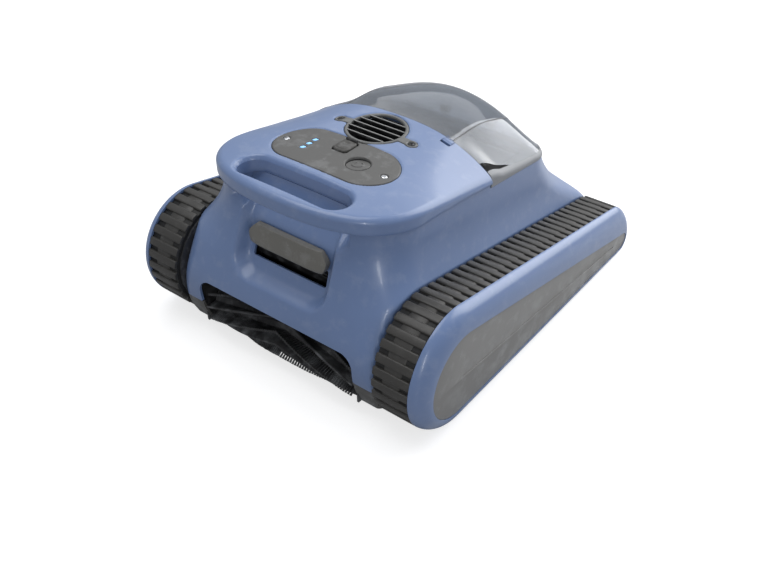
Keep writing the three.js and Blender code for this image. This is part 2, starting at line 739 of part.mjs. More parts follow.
// front recess below the carrying handle: (y, z) outline and front mask
function scoop(grow) {
  const mask = roundedRect(SCOOP_LOW - grow, DECK_Z + 60, -SCOOP_HALF - grow, SCOOP_HALF + grow, 24, 5);
  const wide = GRIP_HALF + 1 + grow;
  const upper = roundedRect(DECK_Z - 40 - grow, DECK_Z + 60, -wide, wide, 8);
  const side = [
    [GRIP_REAR + grow, DECK_Z + 60], [GRIP_REAR + grow, DECK_Z - 20], [FRONT + 50 + grow, 150 - grow],
    [FRONT + 43 + grow, 140 - grow], [FRONT + 40 + grow, 120 - grow], [FRONT + 37 + grow, 112 - grow],
    [FRONT + 34 + grow, 101 - grow], [FRONT + 28 + grow, 92 - grow],
    [FRONT + 16 + grow, SCOOP_LOW + 1 - grow], [FRONT - 30, SCOOP_LOW - 3 - grow], [FRONT - 30, DECK_Z + 60],
  ];
  return prism('x', side, -wide - 5, wide + 5)
    .intersect(prism('y', mask, FRONT - 40, 0).add(prism('y', upper, FRONT - 40, 0)));
}

const VENT_HALF = 40;
const VENT_LOW = 107;
const VENT_HIGH = 118;

function bodyShell() {
  const outer = bodyBlock(0, SPLIT_Z + GAP, DECK_Z - 4);
  const inner = bodyBlock(WALL, SPLIT_Z - 1, DECK_Z);
  const slot = prism('y', roundedRect(0, SLOT_Z, -SLOT_HALF, SLOT_HALF, 14), FRONT - 20, FRONT + 60);
  const roof = deckBand(ABOVE, (y) => lip(y) + GAP);
  const vent = box(-VENT_HALF, VENT_HALF, FRONT, FRONT + 60, VENT_LOW, VENT_HIGH);
  const ledge = all([-1, 1].map((side) => rod('x', NOSE_Y, NOSE_R, HUB_TUBE_R + 3,
    side > 0 ? BODY_W - 8 : -BODY_W + 1, side > 0 ? BODY_W - 1 : -BODY_W + 8)));
  const lugs = all([-1, 1].map((side) => hingeLug(side, 34, 42, 6)));
  return outer.subtract(inner)
    .add(all([scoop(2.5), ledge]).intersect(outer))
    .add(lugs)
    .subtract(scoop(0))
    .subtract(slot)
    .subtract(roof)
    .subtract(aboveSeat(0).subtract(lugs))
    .subtract(all([vent, bodyWell(1), bodyWell(-1), pinHoles()]));
}

function hingeLug(side, from, to, reach) {
  const [a, b] = side > 0 ? [from, to] : [-to, -from];
  return rod('x', HINGE_Y, HINGE_Z, 4.2, a, b, 16)
    .add(prism('x', [
      [HINGE_Y - reach, HINGE_Z - 9], [HINGE_Y + 2, HINGE_Z - 9], [HINGE_Y + 4.1, HINGE_Z],
      [HINGE_Y - 4.1, HINGE_Z],
    ], a, b));
}

function pinHoles() {
  return all([-1, 1].map((side) => rod('x', HINGE_Y, HINGE_Z, PIN_R + GAP,
    side > 0 ? 22 : -43, side > 0 ? 43 : -22, 12)));
}

function stadium(half, r, y, n = 6) {
  return [
    ...arc(half - r, y, r, -90, 90, n),
    ...arc(-half + r, y, r, 90, 270, n),
  ];
}

const GRILLE_R = SHROUD_R + 3;
const EAR_X = 41;
const EAR_Y = PUMP_Y - 2;

function grilleOutline(grow) {
  return all([
    rod('z', 0, PUMP_Y, GRILLE_R + grow, 0, FAR, FINE),
    rod('z', EAR_X, EAR_Y, 6 + grow, 0, FAR, 12),
    rod('z', -EAR_X, EAR_Y, 6 + grow, 0, FAR, 12),
    box(-EAR_X, EAR_X, EAR_Y - 5 - grow, EAR_Y + 5 + grow, 0, FAR),
  ]);
}

function gripOutline(grow) {
  const middle = (GRIP_FRONT + GRIP_REAR) / 2;
  return stadium(GRIP_HALF + grow, (GRIP_REAR - GRIP_FRONT) / 2 - 0.01 + grow, middle);
}

function deckCover() {
  const slab = deckSlab([
    [3, lip], [0, (y) => lip(y) - 2.5], [0, () => 4], [2, () => 1.2], [6, () => 0],
  ]);
  const hollow = prism('z', bodyRing(DECK_Z, WALL + 1.5), 0, FAR)
    .intersect(box(-FAR, FAR, -FAR, SEAM_Y - 3, 0, FAR))
    .intersect(deckBand(SKIN, FAR / 4));
  const gripWall = prism('z', gripOutline(2.6), 100, FAR).intersect(slab);
  const skin = (depth) => deckBand(ABOVE, depth);
  const panelSeat = prism('z', stadium(PANEL_HALF + GAP, PANEL_R + GAP, PANEL_Y), 0, FAR)
    .intersect(skin(PANEL_T + GAP));
  const panelBack = prism('z', stadium(PANEL_HALF + 3, PANEL_R + 3, PANEL_Y), 0, FAR)
    .intersect(deckBand(1, PANEL_T + 3));
  const grilleSeat = grilleOutline(GAP).intersect(skin(2.2 + GAP));
  const grilleBack = grilleOutline(3).intersect(deckBand(1, 6));
  const throat = rod('z', 0, PUMP_Y, SHROUD_R, 0, FAR, FINE);
  const bores = all([
    rod('z', CAP_X, CAP_Y, SOCKET_R + GAP, 0, FAR),
    rod('z', BUTTON_X, BUTTON_Y, BUTTON_R + 1, 0, FAR),
  ]);
  return slab.subtract(hollow)
    .add(all([gripWall, panelBack.intersect(slab), grilleBack.intersect(slab)]))
    .subtract(prism('z', gripOutline(0), 0, FAR))
    .subtract(all([panelSeat, grilleSeat, throat, bores, latchSeat()]));
}

// ---------- deck fittings ----------

const CAP_X = -1;
const CAP_Y = PANEL_REAR - 15.5;
const CAP_HALF = 8;
const SOCKET_R = 6;
const BUTTON_X = 27;
const BUTTON_Y = PANEL_Y - 1.5;
const BUTTON_R = 11;
const BUTTON_RISE = 0;
const LIGHT_X = -31;
const LIGHTS = [-7.5, 1, 9.5].map((dy) => PANEL_Y + dy);
const PANEL_SCREW_X = 56;
const SCREW_R = 3;
const NOTCH_X = -5;

function controlPanel() {
  const plate = prism('z', stadium(PANEL_HALF, PANEL_R, PANEL_Y), 0, FAR).intersect(deckBand(0, PANEL_T));
  const lights = LIGHTS.map((y) => box(LIGHT_X - 2.8, LIGHT_X + 2.8, y - 2.3, y + 2.3, 0, FAR));
  const screws = [-1, 1].map((side) => rod('z', side * PANEL_SCREW_X, PANEL_Y - 2, SCREW_R + GAP,
    0, FAR, 12));
  return plate.subtract(all([
    ...lights, ...screws,
    rod('z', BUTTON_X, BUTTON_Y, BUTTON_R + GAP, 0, FAR, 20),
    prism('z', roundedRect(CAP_X - CAP_HALF - GAP, CAP_X + CAP_HALF + GAP,
      CAP_Y - 10 - GAP, CAP_Y + 10 + GAP, 3), 0, FAR).intersect(deckBand(ABOVE, 1.2)),
    rod('z', CAP_X, CAP_Y, SOCKET_R + GAP, 0, FAR),
    rod('z', NOTCH_X, PANEL_Y + PANEL_R + 3, 7.5, 0, FAR, 12),
    rod('z', 0, PUMP_Y, GRILLE_R + 2, 0, FAR, FINE),
  ]));
}

function screwHead(x, y, foot) {
  return rod('z', x, y, SCREW_R, 0, FAR, 16)
    .intersect(deckBand(0.2, foot))
    .subtract(box(x - 2.2, x + 2.2, y - 0.5, y + 0.5, deckSkin(x, y) - 1.1, FAR))
    .subtract(box(x - 0.5, x + 0.5, y - 2.2, y + 2.2, deckSkin(x, y) - 1.1, FAR));
}

function statusLight(index) {
  const y = LIGHTS[index];
  return box(LIGHT_X - 2.5, LIGHT_X + 2.5, y - 2, y + 2, 0, FAR).intersect(deckBand(0, PANEL_T - 0.1));
}

function chargeCap() {
  const pad = prism('z', roundedRect(CAP_X - CAP_HALF, CAP_X + CAP_HALF, CAP_Y - 10, CAP_Y + 10, 3), 0, FAR)
    .intersect(deckBand(-2.2, 0.9));
  const barrel = rod('x', CAP_Y + 10, deckSkin(0, CAP_Y) + 2, 1.6, CAP_X - 6, CAP_X + 6, 12);
  return pad.add(barrel);
}

function chargeSocket() {
  const top = deckSkin(0, CAP_Y) - 2;
  return rod('z', CAP_X, CAP_Y, SOCKET_R, top - 16, top)
    .subtract(rod('z', CAP_X, CAP_Y, SOCKET_R - 1.4, top - 9, top + 1));
}

function powerButton() {
  const skin = deckBand(-BUTTON_RISE, 3.2);
  const dish = turned('z', [[0, DECK_Z + 40], [0, DECK_Z - 2.1], [8, DECK_Z - 1.8], [9.5, DECK_Z + 40]],
    BUTTON_X, BUTTON_Y - 1, 20);
  return rod('z', BUTTON_X, BUTTON_Y, BUTTON_R, 0, FAR, 20).intersect(skin).subtract(dish);
}

function outletGrille() {
  const plate = grilleOutline(0).intersect(deckBand(0, 2.2));
  const throat = rod('z', 0, PUMP_Y, SHROUD_R - 0.5, 0, FAR, FINE);
  const bars = all([-2, -1, 0, 1, 2].map((k) => {
    const y = PUMP_Y + k * 9.6;
    return box(-SHROUD_R - 1, SHROUD_R + 1, y - 1.3, y + 1.3, DECK_Z - 2.6, DECK_Z - 0.9);
  }))
    .intersect(rod('z', 0, PUMP_Y, SHROUD_R, 0, FAR, FINE));
  const screws = [-1, 1].map((side) => rod('z', side * EAR_X, EAR_Y, SCREW_R + GAP, 0, FAR, 12));
  return plate.subtract(throat).add(bars).subtract(all(screws));
}

const LATCH_X = 60;
const LATCH_HALF = 5;
const LATCH_LONG = 7;
const LATCH_TRAVEL = 3;
const LATCH_T = 3;

function latchSeat() {
  return box(LATCH_X - LATCH_HALF - GAP, LATCH_X + LATCH_HALF + GAP, SEAM_Y - LATCH_LONG - LATCH_TRAVEL - GAP,
    SEAM_Y + 1, deckSkin(LATCH_X + LATCH_HALF, SEAM_Y) - LATCH_T - GAP, FAR);
}

// ---------- front plates ----------

function jetVisor() {
  const back = FRONT + 40;
  return prism('x', [
    [FRONT + 35, 139], [back + 2, 139], [back - 0.4, 120], [FRONT + 30, 120], [FRONT + 31.5, 129],
  ], -48, 48).intersect(prism('y', [
    [139.5, -37], [139.5, 37], [130, 45.5], [119.5, 43], [119.5, -43], [130, -45.5],
  ], FRONT, 0)).subtract(scoopBack());
}

function scoopBack() {
  return box(-FAR, FAR, FRONT, 0, 0, FAR).subtract(prism('x', [
    [FRONT - 30, 200], [FRONT + 43 - GAP, 200], [FRONT + 43 - GAP, 140], [FRONT + 40 - GAP, 120],
    [FRONT + 37 - GAP, 112], [FRONT - 30, 60],
  ], -FAR, FAR));
}

function frontVent() {
  const back = FRONT + 46;
  const plate = box(-VENT_HALF - 6, VENT_HALF + 6, FRONT + 43.4, back, VENT_LOW - 6, VENT_HIGH + 4);
  const louvres = [0, 1, 2].map((k) => box(-VENT_HALF + 1, VENT_HALF - 1, FRONT + 41.5, back - 1,
    VENT_LOW + 1.5 + k * 3.6, VENT_LOW + 3 + k * 3.6));
  return plate.add(all(louvres));
}

// ---------- basket bay ----------

function bayBlock(inset, z0, z1) {
  return prism('z', roundedRect(-BAY_HALF + inset, BAY_HALF - inset, BAY_FRONT + inset,
    BAY_REAR - inset, 12 - inset), z0, z1);
}

function bayLiner() {
  const rim = bodyBlock(WALL + GAP, SEAT_Z - 30, SEAT_Z + 6)
    .intersect(box(-FAR, FAR, BAY_FRONT, FAR, 0, FAR))
    .subtract(aboveSeat(-2))
    .intersect(aboveSeat(-4));
  const tub = bayBlock(0, BAY_FLOOR, FAR).subtract(aboveSeat(-2));
  const front = box(-BAY_HALF, BAY_HALF, BAY_FRONT, BAY_FRONT + LINER_T, BAY_FLOOR + 30, SEAT_Z - 2);
  const mouth = box(-MOUTH_HALF, MOUTH_HALF, MOUTH_FRONT, MOUTH_REAR, 0, BAY_FLOOR + 10);
  const window = prism('y', roundedRect(96, 138, -24, 24, 8), BAY_FRONT - 5, BAY_FRONT + 10);
  return tub.add(rim).add(front)
    .subtract(bayBlock(LINER_T, BAY_FLOOR + LINER_T, FAR))
    .subtract(all([mouth, window]));
}

function basketBlock(inset, z0, z1) {
  return bayBlock(LINER_T + BASKET_GAP + inset, z0, z1);
}

const BASKET_FLOOR = BAY_FLOOR + LINER_T + GAP;

function filterBasket() {
  const top = BASKET_TOP;
  const windows = [];
  for (let k = -1; k <= 1; k += 1) {
    const y = (BAY_FRONT + BAY_REAR) / 2 + k * 27;
    windows.push(prism('x', roundedRect(y - 11, y + 11, BASKET_FLOOR + 10, top - 12, 4, 1), -FAR, FAR));
    const x = k * 50;
    windows.push(prism('y', roundedRect(BASKET_FLOOR + 10, top - 12, x - 20, x + 20, 4, 1), BAY_FRONT,
      BAY_REAR));
  }
  const mouth = box(-MOUTH_HALF + 1, MOUTH_HALF - 1, MOUTH_FRONT + 1, MOUTH_REAR - 1, 0, BAY_FLOOR + 10);
  const rim = basketBlock(-1.4, top - 4, top).subtract(basketBlock(3, 0, FAR));
  return basketBlock(0, BASKET_FLOOR, top)
    .subtract(basketBlock(2, BASKET_FLOOR + 2, FAR))
    .subtract(all([...windows]))
    .add(rim)
    .subtract(mouth);
}

function basketScreen() {
  const low = BASKET_FLOOR + 2 + GAP;
  return basketBlock(2 + GAP, low, BASKET_TOP - 6)
    .subtract(basketBlock(2 + GAP + 0.9, low + 0.9, FAR))
    .subtract(box(-MOUTH_HALF - 4, MOUTH_HALF + 4, MOUTH_FRONT - 4, MOUTH_REAR + 8, 0, low + 5));
}

const FLAP_Y = MOUTH_REAR + 3;
const FLAP_Z = BASKET_FLOOR + 2 + 2.4;

function intakeFlap() {
  const b = MOUTH_HALF - 0.5;
  const a = -b;
  const z = BASKET_FLOOR + 2 + GAP;
  return box(a, b, MOUTH_FRONT - 2, FLAP_Y - 1, z, z + 1.4)
    .add(rod('x', FLAP_Y, FLAP_Z, 1.8, a, b, 12));
}

// ---------- lid ----------

// half width of the body rim that the lid closes on
function rimHalf(y) {
  const z = seat(y);
  const at = (column) => curve(BODY.map((row) => [row[0], row[column]]), z);
  const [w, r] = [at(1) + LID_OVER, at(5) + LID_OVER];
  const past = Math.max(y - (LID_REAR - r), 0);
  return w - r + Math.sqrt(Math.max(r * r - past * past, 0));
}

function lidRows(inset) {
  const span = LID_REAR - SEAM_Y - GAP;
  return [0, 0.1, 0.2, 0.36, 0.52, 0.65, 0.75, 0.83, 0.89, 0.94, 0.98, 1].map((share) => {
    const y = SEAM_Y + GAP + span * share;
    const half = rimHalf(y);
    return [Math.min(y, LID_REAR - inset), half - inset, half];
  });
}

function lidBlock(inset) {
  const us = [-1, -0.8, -CREASE, -0.3, 0, 0.3, CREASE, 0.8, 1];
  const rings = lidRows(inset).map(([y, w, half], i) => {
    const row = i === 0 && inset > 0 ? y - 5 : y;
    const upper = us.map((u) => [u * w, row, lidSkin(u * w, y, half) - inset]);
    return [...upper, [w, row, 90], [-w, row, 90]];
  });
  return loft(rings);
}

function canopyLid() {
  const lugs = all([-1, 1].map((side) => {
    const [a, b] = side > 0 ? [24, 33.7] : [-33.7, -24];
    return rod('x', HINGE_Y, HINGE_Z, 4.2, a, b, 16)
      .add(prism('x', [
        [LID_REAR - LID_T, HINGE_Z], [HINGE_Y - 3, HINGE_Z - 2.6], [HINGE_Y, HINGE_Z + 4.1],
        [LID_REAR - LID_T, HINGE_Z + 8],
      ], a, b));
  }));
  return lidBlock(0).subtract(lidBlock(LID_T))
    .intersect(aboveSeat(GAP))
    .add(lugs)
    .subtract(pinHoles());
}

function lidLatch() {
  const top = Math.min(deckSkin(LATCH_X, SEAM_Y), deckSkin(LATCH_X + LATCH_HALF, SEAM_Y)) + 0.8;
  const low = deckSkin(LATCH_X + LATCH_HALF, SEAM_Y) - LATCH_T;
  return box(LATCH_X - LATCH_HALF, LATCH_X + LATCH_HALF, SEAM_Y - LATCH_LONG, SEAM_Y - 0.4, low, top);
}

function hingePin(side) {
  return rod('x', HINGE_Y, HINGE_Z, PIN_R, side > 0 ? 23 : -42, side > 0 ? 42 : -23, 12);
}

// ---------- pump and sealed box ----------

function impellerShroud() {
  const top = deckSkin(SHROUD_R + 5, PUMP_Y) - 6 - 2 * GAP;
  return turned('z', [
    [SHROUD_R, SHROUD_LOW], [SHROUD_R + 2.4, SHROUD_LOW], [SHROUD_R + 2.4, top - 3],
    [SHROUD_R + 5, top], [SHROUD_R, top],
  ], 0, PUMP_Y);
}

function impeller() {
  const z0 = MOTOR_TOP + 36;
  const hub = rod('z', 0, PUMP_Y, 8, z0, z0 + 20);
  const blades = [];
  for (let k = 0; k < 6; k += 1) {
    const a = 60 * k;
    const blade = box(5, IMPELLER_R, -1.2, 1.2, z0 + 1, z0 + 17)
      .rotate([0, 0, a])
      .translate([0, PUMP_Y, 0]);
    blades.push(blade);
  }
  return hub.add(all(blades)).subtract(rod('z', 0, PUMP_Y, SHAFT_R - 1 + GAP, 0, z0 + 16));
}

function pumpMotor() {
  const can = turned('z', [
    [0, CLEAR_Z + WALL + GAP], [20, CLEAR_Z + WALL + GAP], [21, CLEAR_Z + 8], [21, MOTOR_TOP - 4],
    [17, MOTOR_TOP], [8, MOTOR_TOP], [6, MOTOR_TOP + 6], [0, MOTOR_TOP + 6],
  ], 0, PUMP_Y, COARSE);
  return can.add(rod('z', 0, PUMP_Y, SHAFT_R - 1, MOTOR_TOP, MOTOR_TOP + 51, 12));
}

const BOX_HALF = 80;
const BOX_FRONT = BRUSH_Y + COWL_R + COWL_T + 4;
const BOX_REAR = PUMP_Y - 27;
const BOX_TOP = 128;
const BOX_WALL = 2.5;

function sealedHousing() {
  const low = CLEAR_Z + WALL + GAP;
  const outer = prism('z', roundedRect(-BOX_HALF, BOX_HALF, BOX_FRONT, BOX_REAR, 6), low, BOX_TOP);
  const inner = prism('z', roundedRect(-BOX_HALF + BOX_WALL, BOX_HALF - BOX_WALL,
    BOX_FRONT + BOX_WALL, BOX_REAR - BOX_WALL, 4), low + BOX_WALL, FAR);
  return outer.subtract(inner);
}

function housingLid() {
  return prism('z', roundedRect(-BOX_HALF - 2, BOX_HALF + 2, BOX_FRONT - 2, BOX_REAR + 2, 7),
    BOX_TOP + GAP, BOX_TOP + 3.5);
}

function batteryPack() {
  const low = CLEAR_Z + WALL + GAP + BOX_WALL + GAP;
  const cellR = 9.2;
  const count = 7;
  const cells = [];
  const y = (BOX_FRONT + BOX_REAR) / 2;
  for (let k = 0; k < count; k += 1) {
    const x = (k - (count - 1) / 2) * (2 * cellR - 0.4);
    cells.push(rod('z', x, y - cellR + 0.4, cellR, low, low + 65, 6));
    cells.push(rod('z', x, y + cellR - 0.4, cellR, low, low + 65, 6));
  }
  cells.push(box(-3 * cellR, 3 * cellR, y - 4, y + 4, low + 4, low + 61));
  return all(cells);
}

function controlBoard() {
  const low = CLEAR_Z + WALL + 2 * GAP + BOX_WALL + 65 + GAP;
  const y = (BOX_FRONT + BOX_REAR) / 2;
  const board = box(-70, 70, y - 18, y + 18, low, low + 1.6);
  const chips = [[-45, 0, 12], [-12, 4, 8], [20, -5, 10], [50, 3, 7]].map(([x, dy, s]) => box(x - s, x + s,
    y + dy - s / 1.4, y + dy + s / 1.4, low + 1, low + 6));
  return board.add(all(chips));
}

function gearMotor() {
  const [a, b] = [46, BODY_W - 9];
  return rod('x', TAIL_Y, TAIL_R, GEARBOX_R, a + 22, b, 24)
    .add(rod('x', TAIL_Y, TAIL_R, GEARBOX_R - 2, a, a + 23, 20));
}

// ---------- assembly ----------

function mirrored(manifold) {
  return manifold.mirror([1, 0, 0]);
}

const group = new THREE.Group();

function put(name, manifold, paint) {
  const { vertProperties, numProp, triVerts } = manifold.simplify(FLATNESS).getMesh();
  const geometry = new THREE.BufferGeometry();
  const position = new Float32Array(vertProperties.length / numProp * 3);
  for (let i = 0; i < position.length / 3; i += 1) {
    for (let k = 0; k < 3; k += 1) position[3 * i + k] = vertProperties[numProp * i + k];
  }
  geometry.setAttribute('position', new THREE.BufferAttribute(position, 3));
  geometry.setIndex(new THREE.BufferAttribute(Uint32Array.from(triVerts), 1));
  geometry.computeVertexNormals();
  const [color, roughness, metalness] = PAINT[paint];
  const material = new THREE.MeshStandardMaterial({ color, roughness, metalness });
  if (paint === 'smoke') {
    material.transparent = true;
    material.opacity = 0.45;
  }
  const mesh = new THREE.Mesh(geometry, material);
  mesh.name = name;
  group.add(mesh);
}

function pair(name, manifold, paint) {
  put(`${name}_right`, manifold, paint);
  put(`${name}_left`, mirrored(manifold), paint);
}

pair('track_belt', trackBelt(), 'tyre');
pair('side_cover', sideCover(), 'blue');
pair('side_inlay', sideInlay(), 'grey');
pair('track_frame', trackFrame(), 'dark');
put('idler_wheel_right', idlerWheel().add(transferHub()), 'dark');
put('idler_wheel_left', mirrored(idlerWheel()), 'dark');
pair('drive_wheel', wheel(TAIL_Y, TAIL_R, TAIL_WHEEL_R, SHAFT_R + GAP, 9, 3.5, 18), 'dark');
pair('support_roller', wheel(ROLLER_Y, ROLLER_Z, ROLLER_R, ROLLER_AXLE_R + GAP, 6, 3, 14), 'dark');
pair('idler_axle', rod('x', NOSE_Y, NOSE_R, AXLE_R, BODY_W - 8, AXLE_END), 'steel');
pair('drive_shaft', rod('x', TAIL_Y, TAIL_R, SHAFT_R, BODY_W - 9 + GAP, WHEEL_OUT + 1), 'steel');
pair('roller_axle', rod('x', ROLLER_Y, ROLLER_Z, ROLLER_AXLE_R, BODY_W + 2 * GAP, AXLE_END, 12), 'steel');
pair('gear_motor', gearMotor(), 'steel');
put('chassis_tray', chassisTray(), 'grey');
put('body_shell', bodyShell(), 'blue');
put('deck_cover', deckCover(), 'blue');
put('control_panel', controlPanel(), 'grey');
LIGHTS.forEach((_, i) => put(`status_light_${i + 1}`, statusLight(i), 'light'));
put('charge_cap', chargeCap(), 'black');
put('charge_socket', chargeSocket(), 'black');
put('power_button', powerButton(), 'grey');
put('outlet_grille', outletGrille(), 'black');
[['right', 1], ['left', -1]].forEach(([name, side]) => {
  put(`panel_screw_${name}`, screwHead(side * PANEL_SCREW_X, PANEL_Y - 2, PANEL_T), 'steel');
  put(`grille_screw_${name}`, screwHead(side * EAR_X, EAR_Y, 2.2), 'steel');
  put(`brush_bush_${name}`, brushBush(side), 'steel');
  put(`hinge_pin_${name}`, hingePin(side), 'steel');
});
put('intake_flap', intakeFlap(), 'black');
put('jet_visor', jetVisor(), 'grey');
put('front_vent', frontVent(), 'black');
put('brush_core', brushCore(), 'dark');
put('brush_sleeve', brushSleeve(), 'bristle');
put('brush_gear', brushGear(), 'black');
put('transfer_gear', transferGear(), 'black');
put('bay_liner', bayLiner(), 'dark');
put('filter_basket', filterBasket(), 'dark');
put('basket_screen', basketScreen(), 'grey');
put('canopy_lid', canopyLid(), 'smoke');
put('lid_latch', lidLatch(), 'dark');
put('impeller_shroud', impellerShroud(), 'black');
put('impeller', impeller(), 'dark');
put('pump_motor', pumpMotor(), 'steel');
put('sealed_housing', sealedHousing(), 'dark');
put('housing_lid', housingLid(), 'dark');
put('battery_pack', batteryPack(), 'green');
put('control_board', controlBoard(), 'green');

export default group;
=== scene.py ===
"""Looks of the cordless tracked pool cleaner, built round its solid model."""
import math

import bmesh
import bpy
import numpy as np
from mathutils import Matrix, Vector


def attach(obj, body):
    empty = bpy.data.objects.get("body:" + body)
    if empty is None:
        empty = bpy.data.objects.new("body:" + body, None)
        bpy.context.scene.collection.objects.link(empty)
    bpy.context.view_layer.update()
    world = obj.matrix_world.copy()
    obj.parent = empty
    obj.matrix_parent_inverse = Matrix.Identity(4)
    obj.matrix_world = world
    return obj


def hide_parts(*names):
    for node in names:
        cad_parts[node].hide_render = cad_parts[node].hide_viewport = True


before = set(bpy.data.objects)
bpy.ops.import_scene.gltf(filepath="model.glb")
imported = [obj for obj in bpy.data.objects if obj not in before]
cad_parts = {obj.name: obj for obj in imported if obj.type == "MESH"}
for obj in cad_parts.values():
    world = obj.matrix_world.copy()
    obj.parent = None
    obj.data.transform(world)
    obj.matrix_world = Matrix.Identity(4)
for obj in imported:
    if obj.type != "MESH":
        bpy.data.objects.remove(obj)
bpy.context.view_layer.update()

MM = 0.001

# ---------- sizes, in millimetres, as the solid model has them ----------
LENGTH, WIDTH, DECK_Z = 400.0, 340.0, 192.0
FRONT, REAR = -LENGTH / 2, LENGTH / 2
GAP = 0.3
NOSE = (FRONT + 60.0, 60.0, 60.0)
TAIL = (REAR - 29.0, 29.0, 29.0)
COVER_T, COVER_WALL, BELT_W, POD_GAP = 13.5, 2.6, 37.0, 2.0
COVER_OUT = WIDTH / 2
COVER_IN = COVER_OUT - COVER_T
INLAY_NOSE = (NOSE[0] + 2, NOSE[1] - 6, NOSE[2] - 17)
INLAY_TAIL = (TAIL[0] + 13, TAIL[1] - 15, TAIL[2] - 19)
INLAY_RIM = 1.5
BELT_OUT = COVER_IN - 0.5
BELT_IN = BELT_OUT - BELT_W
BODY_W = BELT_IN - POD_GAP
LUG_H, LUG_COUNT = 2.75, 72
SEAM_Y, SEAT_Z, SEAT_SLOPE = -4.0, 150.0, 0.12
SPLIT_Z, CLEAR_Z = 40.0, 12.0
DECK_HALF = BODY_W - 9.0
DECK_FRONT, DECK_BEND = FRONT + 18.0, FRONT + 100.0
PUMP_Y = -37.0
PANEL_HALF, PANEL_R = 65.0, 30.5
PANEL_Y = SEAM_Y - 62.0 - PANEL_R
GRIP_HALF, GRIP_REAR = 60.0, PANEL_Y - PANEL_R - 10.0
GRIP_FRONT = GRIP_REAR - 31.0
BRUSH_R, BRUSH_HALF = 30.0, 92.0
BRUSH_Z = BRUSH_R + 3.416
BRUSH_Y = NOSE[0] - math.sqrt(35.35 ** 2 - (NOSE[2] - BRUSH_Z) ** 2)
COWL_R = BRUSH_R + 5.3
GRILLE_R, THROAT_R, BAR_HALF = 30.0, 26.4, 28.2
SLOT_HALF, SLOT_Z = 93.0, BRUSH_Z + 35.3
SCOOP_HALF, SCOOP_LOW = 56.0, 86.0
BODY = np.array([
    [12, BODY_W - 4, FRONT + 18, REAR - 12, 12, 10],
    [30, BODY_W - 4, FRONT + 11, REAR - 3, 16, 14],
    [50, BODY_W - 5, FRONT + 7, REAR - 7, 22, 24],
    [70, BODY_W - 6, FRONT + 8, REAR - 24, 28, 34],
    [95, BODY_W - 8, FRONT + 16, REAR - 50, 36, 40],
    [120, BODY_W - 9.5, FRONT + 26, REAR - 71, 44, 40],
    [145, BODY_W - 11, FRONT + 35, REAR - 86, 48, 36],
    [168, BODY_W - 12, FRONT + 41, REAR - 95, 50, 36]], float)


# ---------- shape rules ----------
def curve(ts, vs, t):
    """Smooth line through stations."""
    ts, vs = np.asarray(ts, float), np.asarray(vs, float)
    t = np.clip(t, ts[0], ts[-1])
    slope = np.empty_like(vs)
    slope[1:-1] = (vs[2:] - vs[:-2]) / (ts[2:] - ts[:-2])
    slope[0] = (vs[1] - vs[0]) / (ts[1] - ts[0])
    slope[-1] = (vs[-1] - vs[-2]) / (ts[-1] - ts[-2])
    i = np.clip(np.searchsorted(ts, t, side="right") - 1, 0, len(ts) - 2)
    h = ts[i + 1] - ts[i]
    s = (t - ts[i]) / h
    return ((2 * s ** 3 - 3 * s ** 2 + 1) * vs[i] + (s ** 3 - 2 * s ** 2 + s) * h * slope[i]
            + (3 * s ** 2 - 2 * s ** 3) * vs[i + 1] + (s ** 3 - s ** 2) * h * slope[i + 1])


def ease(t):
    """Smooth step from 0 to 1."""
    t = np.clip(t, 0, 1)
    return t * t * (3 - 2 * t)


def seat(y):
    """Height of the body's rim where the canopy lies."""
    return SEAT_Z - SEAT_SLOPE * (y - SEAM_Y)


def body_at(column, z):
    """Half width, front, rear or a corner radius of the body at a height."""
    return curve(BODY[:, 0], BODY[:, column], z)


def rim_rear():
    """Where the rim meets the body's rear face."""
    y = REAR
    for _ in range(20):
        y = float(body_at(3, seat(y)))
    return y


LID_REAR = rim_rear() + 0.5
CREASE = 0.585


def hull(c1, c2, n):
    """Outline round two circles in (y, z), anticlockwise seen from +X."""
    (y1, z1, r1), (y2, z2, r2) = c1, c2
    along = math.atan2(z2 - z1, y2 - y1)
    open_ = math.acos((r1 - r2) / math.hypot(y2 - y1, z2 - z1))
    a = np.linspace(along + open_, along + 2 * math.pi - open_, n + 1)
    b = np.linspace(along - open_, along + open_, n // 2 + 1)
    return np.vstack([np.column_stack([y1 + r1 * np.cos(a), z1 + r1 * np.sin(a)]),
                      np.column_stack([y2 + r2 * np.cos(b), z2 + r2 * np.sin(b)])])


def even(points, count):
    """The closed outline again, in equal steps."""
    loop = np.vstack([points, points[:1]])
    step = np.r_[0, np.cumsum(np.hypot(*np.diff(loop, axis=0).T))]
    at = np.linspace(0, step[-1], count, endpoint=False)
    return np.column_stack([np.interp(at, step, loop[:, 0]), np.interp(at, step, loop[:, 1])])


def pod(inset, n=64):
    """Outline of a track, drawn in by an inset."""
    return hull((NOSE[0], NOSE[1], NOSE[2] - inset), (TAIL[0], TAIL[1], TAIL[2] - inset), n)


def pod_distance(y, z):
    """How far a point lies outside a track's outline."""
    span = math.hypot(TAIL[0] - NOSE[0], TAIL[1] - NOSE[1])
    ey, ez = (TAIL[0] - NOSE[0]) / span, (TAIL[1] - NOSE[1]) / span
    u = (y - NOSE[0]) * ey + (z - NOSE[1]) * ez
    v = np.abs((z - NOSE[1]) * ey - (y - NOSE[0]) * ez)
    b = (NOSE[2] - TAIL[2]) / span
    a = math.sqrt(1 - b * b)
    k = a * u - b * v
    return np.where(k < 0, np.hypot(u, v) - NOSE[2],
                    np.where(k > a * span, np.hypot(u - span, v) - TAIL[2], a * v + b * u - NOSE[2]))


